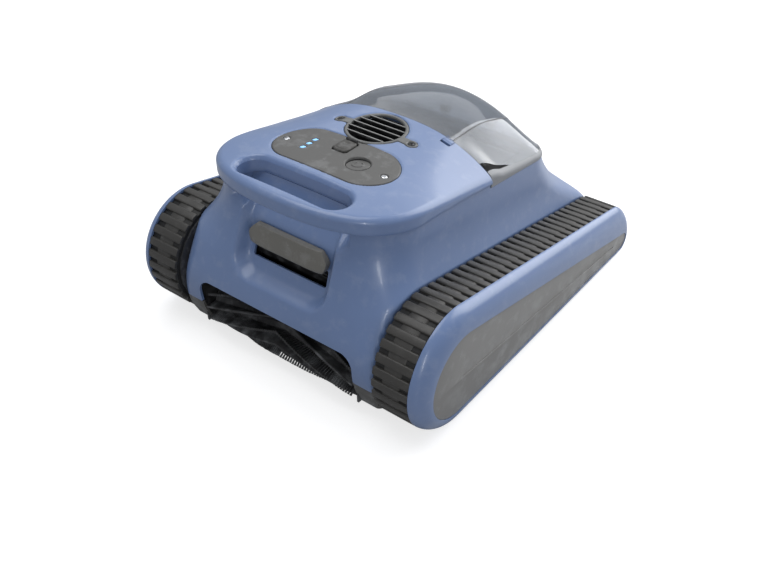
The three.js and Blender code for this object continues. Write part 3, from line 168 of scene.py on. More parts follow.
def body_ring(z, inset, corner=14, side=90, back=50, nose=110):
    """One slice of the body: (x, y) points, anticlockwise from above."""
    w, f, r, rf, rr = (float(body_at(c, z)) for c in range(1, 6))
    w, f, r, rf, rr = w - inset, f + inset, r - inset, max(rf - inset, 3), max(rr - inset, 3)
    corners = [(w - rf, f + rf, rf, -90), (w - rr, r - rr, rr, 0),
               (-(w - rr), r - rr, rr, 90), (-(w - rf), f + rf, rf, 180)]
    points = []
    for i, (cx, cy, cr, a0) in enumerate(corners):
        a = np.radians(a0 + np.linspace(0, 90, corner + 1))
        points.append(np.column_stack([cx + cr * np.cos(a), cy + cr * np.sin(a)]))
        nx, ny, nr, na = corners[(i + 1) % 4]
        stop = np.array([nx + nr * math.cos(math.radians(na)), ny + nr * math.sin(math.radians(na))])
        steps = (side, back, side, nose)[i]
        t = (np.arange(1, steps) / steps)[:, None]
        points.append(points[-1][-1] + (stop - points[-1][-1]) * t)
    p = np.vstack(points)
    ax = np.abs(p[:, 0])
    near = np.maximum(1 - np.maximum(pod_distance(p[:, 1], z) + 1.5, 0) / 38.0, 0) ** 2.5
    pull = near * ease((ax - 60) / (w - 60))
    flared = ax + (BODY_W - inset - ax) * np.minimum(pull, 1)
    return np.column_stack([np.sign(p[:, 0]) * flared, p[:, 1]])


def crest(y):
    """Height along the middle of the deck and the canopy."""
    r = LID_REAR
    rises = np.array([0, 0, 1.5, 0, -5, -13, -29, -50])
    return curve([FRONT, SEAM_Y, SEAM_Y + 34, r - 59, r - 34, r - 19, r - 7, r], DECK_Z + rises, y)


def deck_skin(x, y):
    """Height of the crowned deck."""
    drop = curve([FRONT, FRONT + 80, SEAM_Y - 56, SEAM_Y], [7, 9, 20, 32], y)
    return crest(np.minimum(y, SEAM_Y)) - drop * (np.abs(x) / DECK_HALF) ** 2.6


def lip(y):
    """Depth of the deck's edge."""
    return curve([FRONT + 80, SEAM_Y - 56, SEAM_Y], [16, 10, 6.5], y)


def lid_skin(x, y, half):
    """Height of the canopy: a roof, a crease and a flatter facet down to the rim."""
    u = np.abs(x) / half
    marks = [SEAM_Y, SEAM_Y + 44, LID_REAR - 29, LID_REAR]
    dip, side = curve(marks, [7.5, 10, 16, 10], y), curve(marks, [10, 5, 3.5, 3], y)
    crease = crest(y) - dip
    edge = np.minimum(seat(y) + side, crease - 1)
    roof = np.where(u < CREASE, crest(y) - dip * (u / CREASE) ** 2,
                    crease + (edge - crease) * (u - CREASE) / (1 - CREASE))
    blend = ease((y - SEAM_Y) / 25)
    return deck_skin(x, np.minimum(y, SEAM_Y)) * (1 - blend) + roof * blend


def deck_outline(inset, front=150, side=52, across=96):
    """The deck from above, anticlockwise, drawn in by an inset."""
    half, reach = DECK_HALF - inset, DECK_BEND - DECK_FRONT - inset
    a = np.pi + np.pi * np.arange(front + 1) / front
    c, s = np.cos(a), np.sin(a)
    arc = np.column_stack([half * np.sign(c) * np.abs(c) ** 0.8, DECK_BEND - reach * np.abs(s) ** 0.8])
    up = DECK_BEND + (SEAM_Y - DECK_BEND) * np.arange(1, side + 1) / side
    right = np.column_stack([np.full(side, half), up])
    k = np.arange(1, across) / across
    back = np.column_stack([half - 2 * half * k, np.full(across - 1, SEAM_Y)])
    left = np.column_stack([np.full(side, -half), up[::-1]])
    return np.vstack([arc, right, back, left])


# ---------- flat distances, negative inside a cut ----------
def stadium(p, half, r, y):
    q = np.abs(p[:, 0]) - (half - r)
    return np.hypot(np.maximum(q, 0), p[:, 1] - y) - r


def round_box(p, cx, cy, hx, hy, r):
    qx, qy = np.abs(p[:, 0] - cx) - (hx - r), np.abs(p[:, 1] - cy) - (hy - r)
    return np.hypot(np.maximum(qx, 0), np.maximum(qy, 0)) + np.minimum(np.maximum(qx, qy), 0) - r


def disc(p, cx, cy, r):
    return np.hypot(p[:, 0] - cx, p[:, 1] - cy) - r


# ---------- mesh helpers ----------
def shade(mesh, sharp):
    """Smooth shading up to an angle in degrees."""
    for polygon in mesh.polygons:
        polygon.use_smooth = True
    mesh.set_sharp_from_angle(angle=math.radians(sharp))


def link(name, content):
    made = bpy.data.objects.new(name, content)
    bpy.context.scene.collection.objects.link(made)
    return made


def build(name, verts, faces, material, sharp=38):
    """A mesh object from points in millimetres."""
    mesh = bpy.data.meshes.new(name)
    mesh.from_pydata((np.asarray(verts, float) * MM).tolist(), [], [list(map(int, f)) for f in faces])
    bm = bmesh.new()
    bm.from_mesh(mesh)
    bmesh.ops.remove_doubles(bm, verts=bm.verts, dist=2e-6)
    bmesh.ops.dissolve_degenerate(bm, dist=1e-6, edges=bm.edges)
    bmesh.ops.recalc_face_normals(bm, faces=bm.faces)
    bm.to_mesh(mesh)
    bm.free()
    shade(mesh, sharp)
    mesh.materials.append(material)
    return link(name, mesh)


def settle(piece, sharp=38):
    """Live modifiers turned into the plain mesh."""
    bpy.context.view_layer.update()
    graph = bpy.context.evaluated_depsgraph_get()
    mesh = bpy.data.meshes.new_from_object(piece.evaluated_get(graph))
    old = piece.data
    material = old.materials[0] if old.materials else None
    piece.modifiers.clear()
    piece.data = mesh
    if material and not mesh.materials:
        mesh.materials.append(material)
    shade(mesh, sharp)
    return piece


def bevelled(piece, width, segments=3, angle=35, sharp=38):
    """Edges sharper than an angle rounded by a width in millimetres."""
    modifier = piece.modifiers.new("edge", "BEVEL")
    modifier.width = width * MM
    modifier.segments = segments
    modifier.limit_method = "ANGLE"
    modifier.angle_limit = math.radians(angle)
    modifier.harden_normals = False
    return settle(piece, sharp)


def cut_by(piece, cutter):
    """One shape taken out of another; the cutter goes."""
    modifier = piece.modifiers.new("cut", "BOOLEAN")
    modifier.operation = "DIFFERENCE"
    modifier.solver = "EXACT"
    modifier.object = cutter
    settle(piece)
    bpy.data.objects.remove(cutter)
    return piece


def place(piece, body, slot, *nodes):
    """The piece rides a body and stands in for solid nodes; the slot argument is not used."""
    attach(piece, body)
    if nodes:
        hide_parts(*nodes)
    return piece


def grid_faces(rows, columns, wrap):
    faces = []
    for r in range(rows - 1):
        for k in range(columns if wrap else columns - 1):
            a, b = r * columns + k, r * columns + (k + 1) % columns
            faces.append((a, b, b + columns, a + columns))
    return faces


def loft(rings):
    """Points and faces of rings of equal count, with both ends closed."""
    n = len(rings[0])
    faces = grid_faces(len(rings), n, True)
    faces.append(tuple(range(n))[::-1])
    faces.append(tuple(range((len(rings) - 1) * n, len(rings) * n)))
    return np.vstack(rings), faces


def prism_x(outline, x0, x1):
    y, z = np.asarray(outline).T
    return loft([np.column_stack([np.full(len(y), x), y, z]) for x in (x0, x1)])


def prism_z(outline, z0, z1):
    x, y = np.asarray(outline).T
    return loft([np.column_stack([x, y, np.full(len(x), z)]) for z in (z0, z1)])


def lathe_x(profile, y, z, n=64):
    """Closed (radius, x) profile turned about an axis along X."""
    verts, faces = [], []
    m = len(profile)
    for k in range(n):
        a = 2 * math.pi * k / n
        verts += [(x, y + r * math.cos(a), z + r * math.sin(a)) for r, x in profile]
    for k in range(n):
        for i in range(m):
            a, b = k * m + i, k * m + (i + 1) % m
            c, d = ((k + 1) % n) * m + (i + 1) % m, ((k + 1) % n) * m + i
            faces.append((a, b, c, d))
    return verts, faces


def open_edges(faces):
    """Edges with a face on one side only, each in its face's own direction."""
    seen = {(a, b) for f in faces for a, b in zip(f, f[1:] + f[:1])}
    return [(a, b) for a, b in seen if (b, a) not in seen]


def trim(flat, faces, distance, among=None):
    """Faces inside a cut go, and the points left along it are pulled onto its line."""
    flat = flat.copy()
    d = distance(flat)
    live = np.ones(len(flat), bool) if among is None else among
    mid = np.array([d[list(f)].mean() for f in faces])
    ok = np.array([live[list(f)].all() for f in faces])
    before = {v for e in open_edges(faces) for v in e}
    kept = [f for f, m, o in zip(faces, mid, ok) if not (o and m < 0)]
    edge = np.array(sorted({v for e in open_edges(kept) for v in e} - before), int)
    step = 1e-3
    for _ in range(3):
        p = flat[edge]
        d0 = distance(p)
        gx = (distance(p + [step, 0]) - d0) / step
        gy = (distance(p + [0, step]) - d0) / step
        flat[edge] -= (d0 / np.maximum(gx ** 2 + gy ** 2, 0.2))[:, None] * np.column_stack([gx, gy])
    return flat, kept


def two_skins(outer, inner, faces):
    """Two skins over the same faces, joined along every open edge."""
    n = len(outer)
    verts = np.vstack([outer, inner])
    result = [tuple(f) for f in faces]
    result += [tuple(v + n for v in reversed(f)) for f in faces]
    result += [(b, a, a + n, b + n) for a, b in open_edges(faces)]
    return verts, result


def rounding(d, r):
    """How far a face falls back towards an edge with radius r, at distance d inside it."""
    e = np.clip(r - d, 0, r)
    return r - np.sqrt(r * r - e * e)


# ---------- materials ----------
def new_group(name, inputs, outputs):
    tree = bpy.data.node_groups.new(name, "ShaderNodeTree")
    for label, kind, value in inputs:
        socket = tree.interface.new_socket(label, in_out="INPUT", socket_type=kind)
        socket.default_value = value
    for label, kind in outputs:
        tree.interface.new_socket(label, in_out="OUTPUT", socket_type=kind)
    return tree, tree.nodes.new("NodeGroupInput"), tree.nodes.new("NodeGroupOutput")


def node(tree, kind, links=(), **values):
    made = tree.nodes.new(kind)
    for key, value in values.items():
        if hasattr(made, key):
            setattr(made, key, value)
        else:
            made.inputs[key.replace("_", " ")].default_value = value
    for socket, source in links:
        tree.links.new(source, made.inputs[socket])
    return made


def math_node(tree, operation, a, b=None):
    made = tree.nodes.new("ShaderNodeMath")
    made.operation = operation
    for i, value in enumerate((a, b)):
        if value is None:
            continue
        if isinstance(value, (int, float)):
            made.inputs[i].default_value = value
        else:
            tree.links.new(value, made.inputs[i])
    return made.outputs[0]


def ramp(tree, source, low, high):
    made = tree.nodes.new("ShaderNodeMapRange")
    made.interpolation_type = "SMOOTHSTEP"
    made.inputs["From Min"].default_value = low
    made.inputs["From Max"].default_value = high
    tree.links.new(source, made.inputs["Value"])
    return made.outputs["Result"]


def mix_colour(tree, factor, a, b, blend="MIX"):
    made = tree.nodes.new("ShaderNodeMix")
    made.data_type = "RGBA"
    made.blend_type = blend
    for socket, value in ((0, factor), (6, a), (7, b)):
        if isinstance(value, (int, float)):
            made.inputs[socket].default_value = value
        elif isinstance(value, (tuple, list)):
            made.inputs[socket].default_value = (*value[:3], 1)
        else:
            tree.links.new(value, made.inputs[socket])
    return made.outputs[2]


def make_wear_group():
    """Handling marks: broad tone drift, fine scuffs and film that dulls the gloss."""
    tree, entry, leave = new_group("handling_wear", [
        ("Vector", "NodeSocketVector", (0, 0, 0)), ("Colour", "NodeSocketColor", (0.5, 0.5, 0.5, 1)),
        ("Film", "NodeSocketColor", (0.6, 0.6, 0.58, 1)), ("Roughness", "NodeSocketFloat", 0.3),
        ("Drift", "NodeSocketFloat", 0.06), ("Scuffs", "NodeSocketFloat", 0.3),
        ("Spread", "NodeSocketFloat", 0.1)],
        [("Colour", "NodeSocketColor"), ("Roughness", "NodeSocketFloat")])
    where = entry.outputs["Vector"]
    broad = node(tree, "ShaderNodeTexNoise", [("Vector", where)], Scale=14.0, Detail=3.0)
    cloud = node(tree, "ShaderNodeTexNoise", [("Vector", where)], Scale=70.0, Detail=5.0, Roughness=0.62)
    stretch = node(tree, "ShaderNodeMapping", [("Vector", where)])
    stretch.inputs["Scale"].default_value = (60, 420, 420)
    stretch.inputs["Rotation"].default_value = (0.3, 0.5, 0.9)
    lines = node(tree, "ShaderNodeTexNoise", [("Vector", stretch.outputs[0])], Scale=3.0, Detail=2.0)
    line_mask = ramp(tree, lines.outputs["Fac"], 0.66, 0.74)
    patch = ramp(tree, cloud.outputs["Fac"], 0.5, 0.68)
    scuff = math_node(tree, "MULTIPLY", line_mask, patch)
    scuff = math_node(tree, "MULTIPLY", scuff, entry.outputs["Scuffs"])
    dark = mix_colour(tree, 0.5, entry.outputs["Colour"], (0.0, 0.0, 0.0))
    drift = ramp(tree, broad.outputs["Fac"], 0.3, 0.7)
    tone = math_node(tree, "MULTIPLY", drift, entry.outputs["Drift"])
    toned = mix_colour(tree, tone, entry.outputs["Colour"], dark)
    filmed = mix_colour(tree, math_node(tree, "MULTIPLY", patch, entry.outputs["Spread"]),
                        toned, entry.outputs["Film"])
    tree.links.new(mix_colour(tree, scuff, filmed, entry.outputs["Film"]), leave.inputs["Colour"])
    dull = math_node(tree, "MULTIPLY", cloud.outputs["Fac"], entry.outputs["Spread"])
    rough = math_node(tree, "ADD", entry.outputs["Roughness"], dull)
    rough = math_node(tree, "ADD", rough, math_node(tree, "MULTIPLY", scuff, 0.3))
    tree.links.new(rough, leave.inputs["Roughness"])
    return tree


def make_grain_group():
    """Moulded texture: a fine pebble with a slow ripple under it."""
    tree, entry, leave = new_group("moulded_grain", [
        ("Vector", "NodeSocketVector", (0, 0, 0)), ("Size", "NodeSocketFloat", 900.0),
        ("Ripple", "NodeSocketFloat", 0.3)], [("Height", "NodeSocketFloat")])
    where, size = entry.outputs["Vector"], entry.outputs["Size"]
    fine = node(tree, "ShaderNodeTexNoise", [("Vector", where), ("Scale", size)], Detail=2.0)
    cells = node(tree, "ShaderNodeTexVoronoi", [("Vector", where), ("Scale", size)])
    slow = node(tree, "ShaderNodeTexNoise", [("Vector", where)], Scale=45.0, Detail=1.0)
    pebble = math_node(tree, "MULTIPLY", cells.outputs["Distance"], 0.6)
    height = math_node(tree, "ADD", fine.outputs["Fac"], pebble)
    ripple = math_node(tree, "MULTIPLY", slow.outputs["Fac"], entry.outputs["Ripple"])
    tree.links.new(math_node(tree, "ADD", height, ripple), leave.inputs["Height"])
    return tree


def make_grime_group():
    """Pool film: pale dried water marks, heavier near the floor."""
    tree, entry, leave = new_group("water_marks", [
        ("Vector", "NodeSocketVector", (0, 0, 0)), ("Amount", "NodeSocketFloat", 0.3),
        ("Top", "NodeSocketFloat", 0.08)], [("Mask", "NodeSocketFloat")])
    where = entry.outputs["Vector"]
    split = node(tree, "ShaderNodeSeparateXYZ", [("Vector", where)])
    high = math_node(tree, "DIVIDE", split.outputs["Z"], entry.outputs["Top"])
    low = math_node(tree, "SUBTRACT", 1.0, ramp(tree, high, 0.0, 1.0))
    spots = node(tree, "ShaderNodeTexVoronoi", [("Vector", where)], Scale=160.0)
    ring = ramp(tree, spots.outputs["Distance"], 0.12, 0.3)
    streak = node(tree, "ShaderNodeTexNoise", [("Vector", where)], Scale=55.0, Detail=6.0)
    film = math_node(tree, "MULTIPLY", ramp(tree, streak.outputs["Fac"], 0.42, 0.7), low)
    rings = math_node(tree, "ADD", math_node(tree, "MULTIPLY", ring, 0.5), 0.5)
    film = math_node(tree, "MULTIPLY", film, rings)
    tree.links.new(math_node(tree, "MULTIPLY", film, entry.outputs["Amount"]), leave.inputs["Mask"])
    return tree


WEAR, GRAIN, GRIME = make_wear_group(), make_grain_group(), make_grime_group()


def worn(name, colour, film, rough, drift, scuffs, spread):
    """A new material with the wear group on its colour and roughness."""
    material = bpy.data.materials.new(name)
    material.use_nodes = True
    tree = material.node_tree
    where = node(tree, "ShaderNodeTexCoord").outputs["Object"]
    wear = node(tree, "ShaderNodeGroup", node_tree=WEAR)
    tree.links.new(where, wear.inputs["Vector"])
    wear.inputs["Colour"].default_value = (*colour, 1)
    wear.inputs["Film"].default_value = (*film, 1)
    for label, value in (("Roughness", rough), ("Drift", drift), ("Scuffs", scuffs), ("Spread", spread)):
        wear.inputs[label].default_value = value
    return material, tree, tree.nodes["Principled BSDF"], where, wear


def finish(name, colour, rough, grain=900.0, depth=0.00002, film=(0.62, 0.64, 0.66), drift=0.1,
           scuffs=0.25, spread=0.08, grime=0.2, grime_top=0.08, metallic=0.0, **sockets):
    """A finish: base colour with wear, water marks and a moulded or machined grain."""
    material, tree, shader, where, wear = worn(name, colour, film, rough, drift, scuffs, spread)
    marks = node(tree, "ShaderNodeGroup", node_tree=GRIME)
    tree.links.new(where, marks.inputs["Vector"])
    marks.inputs["Amount"].default_value = grime
    marks.inputs["Top"].default_value = grime_top
    tree.links.new(mix_colour(tree, marks.outputs["Mask"], wear.outputs["Colour"], film),
                   shader.inputs["Base Color"])
    tree.links.new(math_node(tree, "ADD", wear.outputs["Roughness"],
                             math_node(tree, "MULTIPLY", marks.outputs["Mask"], 0.3)),
                   shader.inputs["Roughness"])
    surface = node(tree, "ShaderNodeGroup", node_tree=GRAIN)
    tree.links.new(where, surface.inputs["Vector"])
    surface.inputs["Size"].default_value = grain
    bump = node(tree, "ShaderNodeBump", [("Height", surface.outputs["Height"])])
    bump.inputs["Distance"].default_value = depth
    bump.inputs["Strength"].default_value = 0.6
    tree.links.new(bump.outputs["Normal"], shader.inputs["Normal"])
    shader.inputs["Metallic"].default_value = metallic
    for label, value in sockets.items():
        shader.inputs[label.replace("_", " ")].default_value = value
    return material


blue = finish("blue_gloss_plastic", (0.13, 0.195, 0.36), 0.3, grain=1500, depth=0.000008, drift=0.08,
              scuffs=0.12, spread=0.05, grime=0.12, Coat_Weight=0.25, Coat_Roughness=0.12)
grey = finish("grey_matte_plastic", (0.086, 0.085, 0.082), 0.46, grain=1300, depth=0.00002, spread=0.08)
charcoal = finish("charcoal_plastic", (0.035, 0.036, 0.04), 0.42, grain=1100, depth=0.00003, spread=0.1)
black = finish("black_plastic", (0.012, 0.012, 0.013), 0.38, grain=1100, depth=0.00002, spread=0.08)
rubber = finish("soft_black_rubber", (0.02, 0.02, 0.021), 0.55, grain=1600, depth=0.00004, spread=0.12,
                Specular_IOR_Level=0.4)
tread = finish("track_rubber", (0.036, 0.034, 0.031), 0.42, grain=900, depth=0.00004, spread=0.05,
               scuffs=0.4, grime=0.14, film=(0.2, 0.195, 0.185), Specular_IOR_Level=0.5)
# Painted shade: the same track rubber as the tread, made far darker for the band between the lugs, where
# shade falls in the grooves.
groove = finish("track_rubber_groove_shade", (0.009, 0.0088, 0.0085), 0.6, grain=700, depth=0.00006, spread=0.04,
                grime=0.1, film=(0.12, 0.115, 0.11))
steel = finish("stainless_steel", (0.62, 0.63, 0.65), 0.2, grain=2200, depth=0.000008, metallic=1.0,
               scuffs=0.2, spread=0.12, grime=0.05)
visor_grey = finish("visor_grey", (0.145, 0.14, 0.125), 0.36, grain=1300, depth=0.00002, spread=0.08)
# Painted shade: near-black with little gloss, laid on the canopy's corner by the seam in place of the
# shaded inside seen through the smoked plastic.
painted_shade_black = finish("painted_interior_shade", (0.004, 0.004, 0.005), 0.7, grain=1100, depth=0.00002, scuffs=0.1,
                    grime=0.05, grime_top=0.0, Specular_IOR_Level=0.12)
cap_rubber = finish("cap_rubber", (0.06, 0.058, 0.054), 0.5, grain=1600, depth=0.00004, spread=0.1,
                    Specular_IOR_Level=0.4)
band_grey = finish("tinted_band", (0.20, 0.21, 0.225), 0.4, grain=1500, spread=0.06)
ring_grey = finish("grille_edge_grey", (0.11, 0.112, 0.11), 0.34, grain=1400, spread=0.06)
# Painted highlight: pale grey laid on the grille bars' upper edges, where they catch the light.
bar_highlight_paint = finish("grille_bar_painted_highlight", (0.26, 0.26, 0.255), 0.4, grain=1400, spread=0.06)
side_grey = finish("side_inset_grey", (0.215, 0.213, 0.208), 0.42, grain=1300, depth=0.00002,
                   spread=0.08)
dark_steel = finish("blackened_screw", (0.05, 0.05, 0.052), 0.3, grain=2000, depth=0.00001, metallic=0.8)
mesh_cloth = finish("basket_screen", (0.42, 0.43, 0.43), 0.6, grain=2500, depth=0.00012, spread=0.15)
board = finish("coated_board", (0.03, 0.16, 0.07), 0.4, grain=1200)


def smoked(name, tint, film):
    """Clear plastic with a grey tint and faint handling marks."""
    material, tree, shader, _, wear = worn(name, tint, film, 0.04, 0.1, 0.12, 0.06)
    tree.links.new(wear.outputs["Colour"], shader.inputs["Base Color"])
    tree.links.new(wear.outputs["Roughness"], shader.inputs["Roughness"])
    shader.inputs["Transmission Weight"].default_value = 0.86
    shader.inputs["IOR"].default_value = 1.46
    return material


def glow(name, colour, strength):
    material = finish(name, colour, 0.25, grain=1500, depth=0.000005, scuffs=0.05, spread=0.04)
    shader = material.node_tree.nodes["Principled BSDF"]
    shader.inputs["Emission Color"].default_value = (*colour, 1)
    shader.inputs["Emission Strength"].default_value = strength
    return material


smoke = smoked("smoked_clear_plastic", (0.42, 0.46, 0.52), (0.47, 0.51, 0.56))
lens = glow("status_lens", (0.25, 0.55, 0.95), 0.55)


# ---------- pieces: body ----------
def thick(outer, faces, depth):
    """The same skin again, moved in along its normals, and both joined at the rims."""
    mesh = bpy.data.meshes.new("skin")
    mesh.from_pydata(outer.tolist(), [], [list(map(int, f)) for f in faces])
    bm = bmesh.new()
    bm.from_mesh(mesh)
    bmesh.ops.recalc_face_normals(bm, faces=bm.faces)
    bm.normal_update()
    normals = np.array([v.normal[:] for v in bm.verts])
    faces = [tuple(v.index for v in f.verts) for f in bm.faces]
    if (normals * (outer - outer.mean(axis=0))).sum() < 0:
        normals, faces = -normals, [f[::-1] for f in faces]
    bm.free()
    bpy.data.meshes.remove(mesh)
    depth = np.asarray(depth, float).reshape(-1, 1) if np.ndim(depth) else depth
    return two_skins(outer, outer - normals * depth, faces)


HEIGHTS = np.linspace(12, 180, 169)
RINGS = np.array([body_ring(z, 0) for z in HEIGHTS])


def columns_at(z):
    """Where each column of the body wall is at its own height."""
    at = np.clip((z - HEIGHTS[0]) / (HEIGHTS[1] - HEIGHTS[0]), 0, len(HEIGHTS) - 1.001)
    low = at.astype(int)
    part = (at - low)[:, None]
    k = np.arange(len(z))
    return RINGS[low, k] * (1 - part) + RINGS[low + 1, k] * part


def body_top():
    """Height of each column's top: under the deck's edge, or at the canopy's seat."""
    z = np.full(RINGS.shape[1], 160.0)
    for _ in range(12):
        x, y = columns_at(z).T
        z = np.where(y <= SEAM_Y, deck_skin(x, y) - lip(y) - GAP, seat(y))
    return z


def scooped(points):
    """The front wall pushed back into the soft recess under the handle."""
    x, y, z = points.T
    levels = [80, 86.5, 92, 101, 112, 120, 140, 150, 172, 200]
    depths = [FRONT - 20, FRONT + 14, FRONT + 27, FRONT + 34, FRONT + 37.5, FRONT + 40, FRONT + 43,
              FRONT + 50, GRIP_REAR, GRIP_REAR]
    soft = np.where(z < 125, 7.0, 3.0)
    back = np.mean([np.interp(z + d * soft, levels, depths) for d in np.linspace(-1, 1, 11)], axis=0)
    spot = np.column_stack([x, z])
    lower = ease(-round_box(spot, 0, SCOOP_LOW + 90, SCOOP_HALF, 90, 24) / 9)
    upper = ease((GRIP_HALF + 3.5 - np.abs(x)) / 3.5) * ease((z - 146) / 14)
    push = np.maximum(back - y, 0) * np.maximum(lower, upper) * (y < FRONT + 80)
    return np.column_stack([x, y + push, z])


def make_body():
    """The blue body wall with its recess, the brush opening and the jet gap cut in."""
    low, rows = SPLIT_Z + GAP, 112
    top = body_top()
    rings = []
    for t in np.linspace(0, 1, rows):
        z = low + (top - low) * t
        rings.append(scooped(np.column_stack([columns_at(z), z])))
    outer = np.vstack(rings)
    faces = grid_faces(rows, RINGS.shape[1], True)

    def brush_slot(p):
        return round_box(p, 0, SLOT_Z - 60, SLOT_HALF, 60, 14)

    def jet_gap(p):
        return round_box(p, 0, 111.8, 43, 7.8, 1.5)
    flat, faces = trim(outer[:, [0, 2]], faces, brush_slot, outer[:, 1] < FRONT + 45)
    flat, faces = trim(flat, faces, jet_gap, outer[:, 1] < FRONT + 60)
    outer[:, [0, 2]] = flat
    verts, faces = thick(outer, faces, 2.6)
    return place(build("body_wall", verts, faces, blue), "base", "blue_plastic", "body_shell")


def make_chassis():
    """The grey tray under the body: its wall, floor and the black hood over the brush."""
    floor_ring = body_ring(CLEAR_Z, 0)
    rings = []
    for share in np.linspace(0.03, 0.985, 60):
        rings.append(np.column_stack([floor_ring * share, np.full(len(floor_ring), CLEAR_Z)]))
    for k, z in enumerate([12.0, 12.4, 13.2, 14.5] + list(np.linspace(16, SPLIT_Z, 19))):
        inset = (1.6, 0.7, 0.2, 0.0)[k] if k < 4 else 0.0
        rings.append(np.column_stack([body_ring(z, inset), np.full(len(floor_ring), z)]))
    outer = np.vstack(rings)
    n = len(floor_ring)
    faces = grid_faces(len(rings), n, True)
    faces.append(tuple(range(n))[::-1])
    under = np.arange(len(outer)) < 61 * n

    def floor_cut(p):
        return np.minimum(round_box(p, 0, -175, SLOT_HALF, 41, 2), round_box(p, 0, 33, 58, 11, 1.5))
    wall = (np.arange(len(outer)) >= 60 * n) & (outer[:, 1] < FRONT + 45)
    flat, faces = trim(outer[:, [0, 2]], faces, lambda p: np.abs(p[:, 0]) - SLOT_HALF, wall)
    outer[:, [0, 2]] = flat
    flat, faces = trim(outer[:, :2], faces, floor_cut, under)
    outer[:, :2] = flat
    verts, faces = thick(outer, faces, 2.4)
    place(build("chassis_wall", verts, faces, grey), "base", "grey_plastic", "chassis_tray")
    sweep = np.radians(np.linspace(-34, 90, 40))
    curve_in = np.column_stack([BRUSH_Y + COWL_R * np.cos(sweep), BRUSH_Z + COWL_R * np.sin(sweep)])
    curve_out = np.column_stack([BRUSH_Y + (COWL_R + 2.2) * np.cos(sweep),
                                 BRUSH_Z + (COWL_R + 2.2) * np.sin(sweep)])
    front = np.array([[FRONT + 11.5, BRUSH_Z + COWL_R], [FRONT + 11.5, BRUSH_Z + COWL_R + 2.2]])
    verts, faces = prism_x(np.vstack([curve_in, front, curve_out[::-1]]), -SLOT_HALF - 1.5, SLOT_HALF + 1.5)
    place(build("brush_hood", verts, faces, black), "base", "black_plastic", "chassis_tray")
    cheek = np.vstack([curve_in, [[FRONT + 11.5, BRUSH_Z + COWL_R], [FRONT + 13, CLEAR_Z + 2],
                                  [BRUSH_Y + 29, CLEAR_Z + 2]]])
    for side in (1, -1):
        low, high = sorted((side * (SLOT_HALF + 0.2), side * (SLOT_HALF + 2.2)))
        verts, faces = prism_x(cheek, low, high)
        place(build("brush_cheek", verts, faces, black), "base", "black_plastic", "chassis_tray")


def grille_shape(p, grow=0.0):
    ring = disc(p, 0, PUMP_Y, GRILLE_R + grow)
    ears = np.minimum(disc(p, 41, PUMP_Y - 2, 6 + grow), disc(p, -41, PUMP_Y - 2, 6 + grow))
    arms = round_box(p, 0, PUMP_Y - 2, 41, 5 + grow, 0.1)
    return np.minimum(np.minimum(ring, ears), arms)


def grip(p, grow=0.0):
    return stadium(p, GRIP_HALF + grow, 15.49 + grow, (GRIP_FRONT + GRIP_REAR) / 2)


def make_deck():
    """The crowned deck with a rolled edge, the handle slot and its lined rim."""
    middle = (DECK_FRONT + SEAM_Y) / 2

    def bend(y):
        return np.minimum(5, lip(y) - 2.7)
    edge = [(3, lambda y: lip(y)), (1.2, lambda y: lip(y) - 0.4), (0.3, lambda y: lip(y) - 1.2),
            (0, lambda y: lip(y) - 2.5)]
    edge += [(0, lambda y, k=k: bend(y) + (lip(y) - 2.5 - bend(y)) * (1 - k / 4)) for k in range(1, 5)]
    edge += [(6 - 6 * math.cos(a), lambda y, a=a: bend(y) * (1 - math.sin(a)))
             for a in np.radians(np.arange(9, 91, 9))]
    rings = []
    for inset, depth in edge:
        x, y = deck_outline(inset).T
        rings.append(np.column_stack([x, y, deck_skin(x, y) - depth(y)]))
    x, y = deck_outline(6).T
    skirt = len(rings)
    for s in np.linspace(0.985, 0.02, 92):
        rings.append(np.column_stack([x * s, middle + (y - middle) * s,
                                      deck_skin(x * s, middle + (y - middle) * s)]))
    n = len(x)
    verts, faces = np.vstack(rings), grid_faces(len(rings), n, True)
    faces.append(tuple(range((len(rings) - 1) * n, len(rings) * n)))
    among = np.arange(len(verts)) >= (skirt - 1) * n

    def cuts(p):
        seats = np.minimum(stadium(p, PANEL_HALF + GAP, PANEL_R + GAP, PANEL_Y), grille_shape(p, GAP))
        return np.minimum(np.minimum(seats, grip(p)), round_box(p, 60, -6, 5.3, 8.3, 1))
    flat, faces = trim(verts[:, :2], faces, cuts, among)
    verts[:, :2] = flat
    handle = np.abs(verts[:, 0]) < 80
    verts[among, 2] = deck_skin(verts[among, 0], verts[among, 1])
    fall = rounding(np.maximum(grip(verts[:, :2]), 0), 4.5) * (among & handle)
    seats = np.minimum(stadium(verts[:, :2], PANEL_HALF + GAP, PANEL_R + GAP, PANEL_Y),
                       grille_shape(verts[:, :2], GAP))
    verts[:, 2] -= fall + rounding(np.maximum(seats, 0), 0.7) * among
    depth = np.where(among, 3.2, 2.6)
    verts, faces = thick(verts, faces, depth)
    wall, more = slot_wall()
    faces = faces + [tuple(v + len(verts) for v in f) for f in more]
    deck = build("deck_top", np.vstack([verts, wall]), faces, blue)
    return place(deck, "base", "blue_plastic", "deck_cover")


